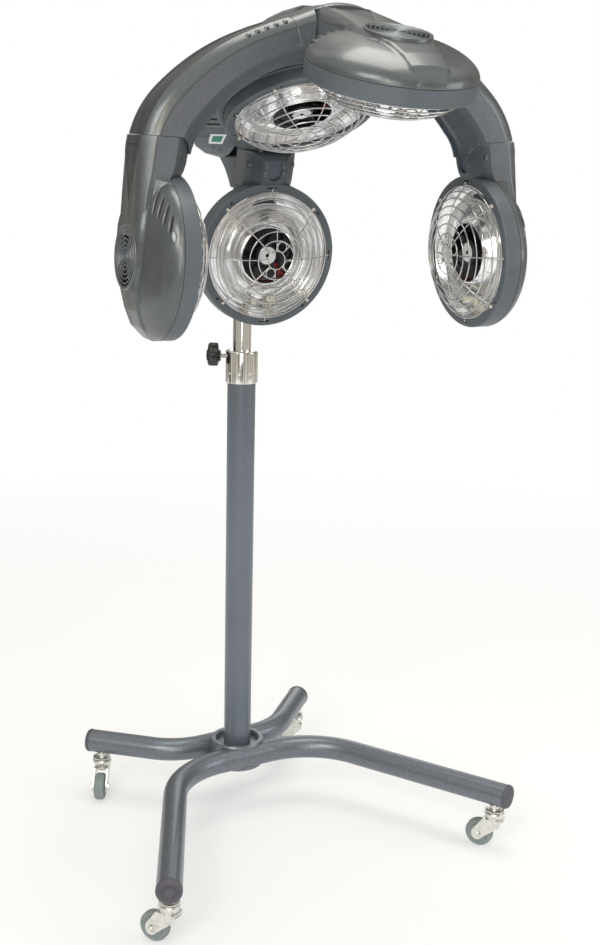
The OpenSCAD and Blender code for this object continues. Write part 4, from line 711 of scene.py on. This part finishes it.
# ------------------------------------------------------------ clamp knob
def knob_mesh():
    parts = []
    def ring(z, k, lob):
        n = 144; out = []
        for i in range(n):
            t = 2 * PI * i / n; r = k * (14.4 + lob * 1.27 * (0.5 + 0.5 * math.cos(3 * t)) ** 0.8); out.append((r * math.cos(t + PI / 3), r * math.sin(t + PI / 3), z))
        return out
    R = [ring(41.3, 0.50, 3), ring(41.3, 0.90, 5.2), ring(42.2, 0.985, 6.2), ring(44.0, 1.0, 6.7), ring(55.0, 1.0, 6.7), ring(57.6, 0.975, 6.3), ring(59.2, 0.90, 5.2), ring(60.0, 0.74, 3.4), ring(60.6, 0.62, 1.2), ring(61.9, 0.58, 0.5), ring(62.2, 0.52, 0.2), ring(62.2, 0.2, 0)]
    v, f = loft(R); parts.append((v, f, 0))
    parts.append(lathe(fillet([(0, 37.3), (9.4, 37.3), (10, 38.2), (10, 41.4), (0, 41.4)], [0, 0.5, 0.5, 0.5, 0], 3), 64) + (0,))
    prof = [(1.6, 19.6), (3.4, 19.6)]
    z = 20.4
    while z < 36.6: prof += [(4.0, z), (3.45, z + 0.55)]; z += 1.1
    prof += [(3.9, 37.4), (1.6, 37.4)]
    parts.append(lathe(prof, 40) + (1,))
    return join(parts)
V, F, K = knob_mesh()
make("clamp_knob_grip", V, F, [M["black"], M["zinc"]], body="clamp_screw", mats=K, sharp=40, reps=("clamp_knob",), M4=rotz(rad(155)) @ tr(0, 0, 854.5) @ roty(rad(90)))

# ------------------------------------------------------------ carried-over CAD nodes
def dress(node, mat, bevel=0.0, seg=2, ang=35):
    o = NODE.get(node)
    if o is None: return
    for s in o.material_slots: s.link = "DATA"
    if not o.data.materials: o.data.materials.append(mat)
    for i in range(len(o.data.materials)): o.data.materials[i] = mat
    if bevel:
        w = o.modifiers.new("weld", "WELD"); w.merge_threshold = 1e-6
        b = o.modifiers.new("bevel", "BEVEL"); b.width = bevel / 1000; b.segments = seg; b.limit_method = "ANGLE"; b.angle_limit = rad(ang); b.harden_normals = False
for n in ("base_hub", "front_leg_tube", "rear_leg_tube"): dress(n, M["hammer"])
dress("leg_end_caps", M["cap"]); dress("pole_guide_bush", M["black"]); dress("column_tube", M["column"])
for n in ("telescopic_pole",): dress(n, M["chrome"])
# elbow pins: dark caps, whose dark colour also stands for painted shade in their recess
dress("elbow_pins", M["dark"])
for n in ["collar_grub_screws", "caster_sockets"] + ["caster_fork_" + c for c in CAST]: dress(n, M["zinc"])
dress("clamp_pad", M["nylon"]); dress("clamp_knob", M["black"])
for n in ("timer_dial", "heat_dial", "mains_inlet"): dress(n, M["black"])
for n in ("mast_socket", "control_housing", "control_panel", "crown_casing"): dress(n, M["slate"])
dress("circuit_board", M["board"])

# ------------------------------------------------------------ studio
def plane(name, x, y, z, sx, sy, mat):
    V = [(x - sx, y - sy, z), (x + sx, y - sy, z), (x + sx, y + sy, z), (x - sx, y + sy, z)]
    o = make(name, np.array(V) * 1000, [(0, 1, 2, 3)], mat, smooth=False); return o
plane("studio_floor", 0, 0, -0.0006, 2.7, 2.7, M["floor"])
w = bpy.context.scene.world or bpy.data.worlds.new("world"); bpy.context.scene.world = w; w.use_nodes = True
wt = w.node_tree; bg = wt.nodes["Background"]; wo = wt.nodes["World Output"]
def wn(kind, **k):
    n = wt.nodes.new(kind)
    for i, v in k.items(): setattr(n, i, v)
    return n
tc = wn("ShaderNodeTexCoord"); sep = wn("ShaderNodeSeparateXYZ"); rp = wn("ShaderNodeValToRGB"); wt.links.new(tc.outputs["Generated"], sep.inputs[0])
mr = wn("ShaderNodeMapRange"); mr.inputs[1].default_value = -1; mr.inputs[2].default_value = 1; wt.links.new(sep.outputs["Z"], mr.inputs[0]); wt.links.new(mr.outputs[0], rp.inputs["Fac"])
e = rp.color_ramp.elements; e[0].position = 0.0; e[0].color = (0.80, 0.80, 0.81, 1); e[1].position = 1.0; e[1].color = (0.85, 0.83, 0.78, 1)
for p_, c_ in ((0.30, (0.70, 0.68, 0.64)), (0.44, (0.56, 0.52, 0.45)), (0.50, (0.46, 0.42, 0.36)), (0.60, (0.36, 0.345, 0.30)), (0.72, (0.46, 0.45, 0.41)), (0.86, (0.86, 0.85, 0.80))):
    q_ = e.new(p_); q_.color = (*c_, 1)
mp = wn("ShaderNodeMapping"); mp.inputs["Scale"].default_value = (2.6, 2.6, 0.35); wt.links.new(tc.outputs["Generated"], mp.inputs["Vector"])
ns = wn("ShaderNodeTexNoise"); ns.inputs["Scale"].default_value = 1.7; ns.inputs["Detail"].default_value = 2.0; wt.links.new(mp.outputs[0], ns.inputs["Vector"])
rr_ = wn("ShaderNodeValToRGB"); rr_.color_ramp.elements[0].position = 0.38; rr_.color_ramp.elements[0].color = (0.16, 0.14, 0.12, 1); rr_.color_ramp.elements[1].position = 0.56; rr_.color_ramp.elements[1].color = (1.35, 1.35, 1.35, 1)
wt.links.new(ns.outputs["Fac"], rr_.inputs["Fac"])
mm = wn("ShaderNodeMix", data_type="RGBA", blend_type="MULTIPLY"); mm.inputs[0].default_value = 1.0; wt.links.new(rp.outputs["Color"], mm.inputs[6]); wt.links.new(rr_.outputs["Color"], mm.inputs[7])
wt.links.new(mm.outputs[2], bg.inputs["Color"]); bg.inputs["Strength"].default_value = 0.80
white = wn("ShaderNodeBackground"); white.inputs["Color"].default_value = (1, 1, 1, 1); white.inputs["Strength"].default_value = 1.0
lp = wn("ShaderNodeLightPath"); ms = wn("ShaderNodeMixShader"); wt.links.new(lp.outputs["Is Camera Ray"], ms.inputs[0]); wt.links.new(bg.outputs[0], ms.inputs[1]); wt.links.new(white.outputs[0], ms.inputs[2]); wt.links.new(ms.outputs[0], wo.inputs["Surface"])
def area(name, loc, target, size, power, col=(1, 1, 1), sy=None):
    L = bpy.data.lights.new(name, "AREA"); L.shape = "RECTANGLE"; L.size = size; L.size_y = sy or size; L.energy = power; L.color = col
    o = bpy.data.objects.new(name, L); bpy.context.scene.collection.objects.link(o); o.location = loc
    o.rotation_euler = (Vector(target) - Vector(loc)).to_track_quat("-Z", "Y").to_euler(); return o
area("front_soft", (-1.5, -3.4, 1.3), (0, -0.2, 0.9), 1.3, 26, (1, 1, 1), sy=1.9)
area("key", (-2.6, -2.6, 2.9), (0, -0.3, 1.0), 1.6, 62, (1, 0.99, 0.96))
area("fill", (2.8, -2.2, 1.6), (0, -0.3, 0.9), 1.8, 30, (0.95, 0.97, 1.0))
area("top", (0.2, -0.2, 3.4), (0, -0.3, 1.0), 1.5, 38, (1, 0.97, 0.90))
area("rim", (1.6, 2.4, 1.2), (0, -0.2, 0.9), 1.2, 8, (1, 1, 1))
area("warm_strip", (-1.3, -2.9, 2.1), (0, -0.4, 1.2), 0.12, 7, (1, 0.86, 0.55), sy=1.3)

C = np.array([-936.0, -2256.9, 1250.4]) / 1000; psi, th, rho = rad(25.04), rad(13.92), rad(1.30)
d = np.array([math.sin(psi) * math.cos(th), math.cos(psi) * math.cos(th), -math.sin(th)]); r = np.array([math.cos(psi), -math.sin(psi), 0]); u = np.cross(r, d)
r2 = math.cos(rho) * r + math.sin(rho) * u; u2 = -math.sin(rho) * r + math.cos(rho) * u
cam = bpy.data.cameras.new("camera"); cam.sensor_fit = "AUTO"; cam.sensor_width = 36.0; cam.lens = 53.24; cam.clip_end = 100
co = bpy.data.objects.new("camera", cam); bpy.context.scene.collection.objects.link(co); bpy.context.scene.camera = co
co.matrix_world = Matrix(((r2[0], u2[0], -d[0], C[0]), (r2[1], u2[1], -d[1], C[1]), (r2[2], u2[2], -d[2], C[2]), (0, 0, 0, 1)))
bpy.context.scene.view_settings.view_transform = "Standard"; bpy.context.scene.view_settings.look = "None"; bpy.context.scene.view_settings.exposure = 0.0
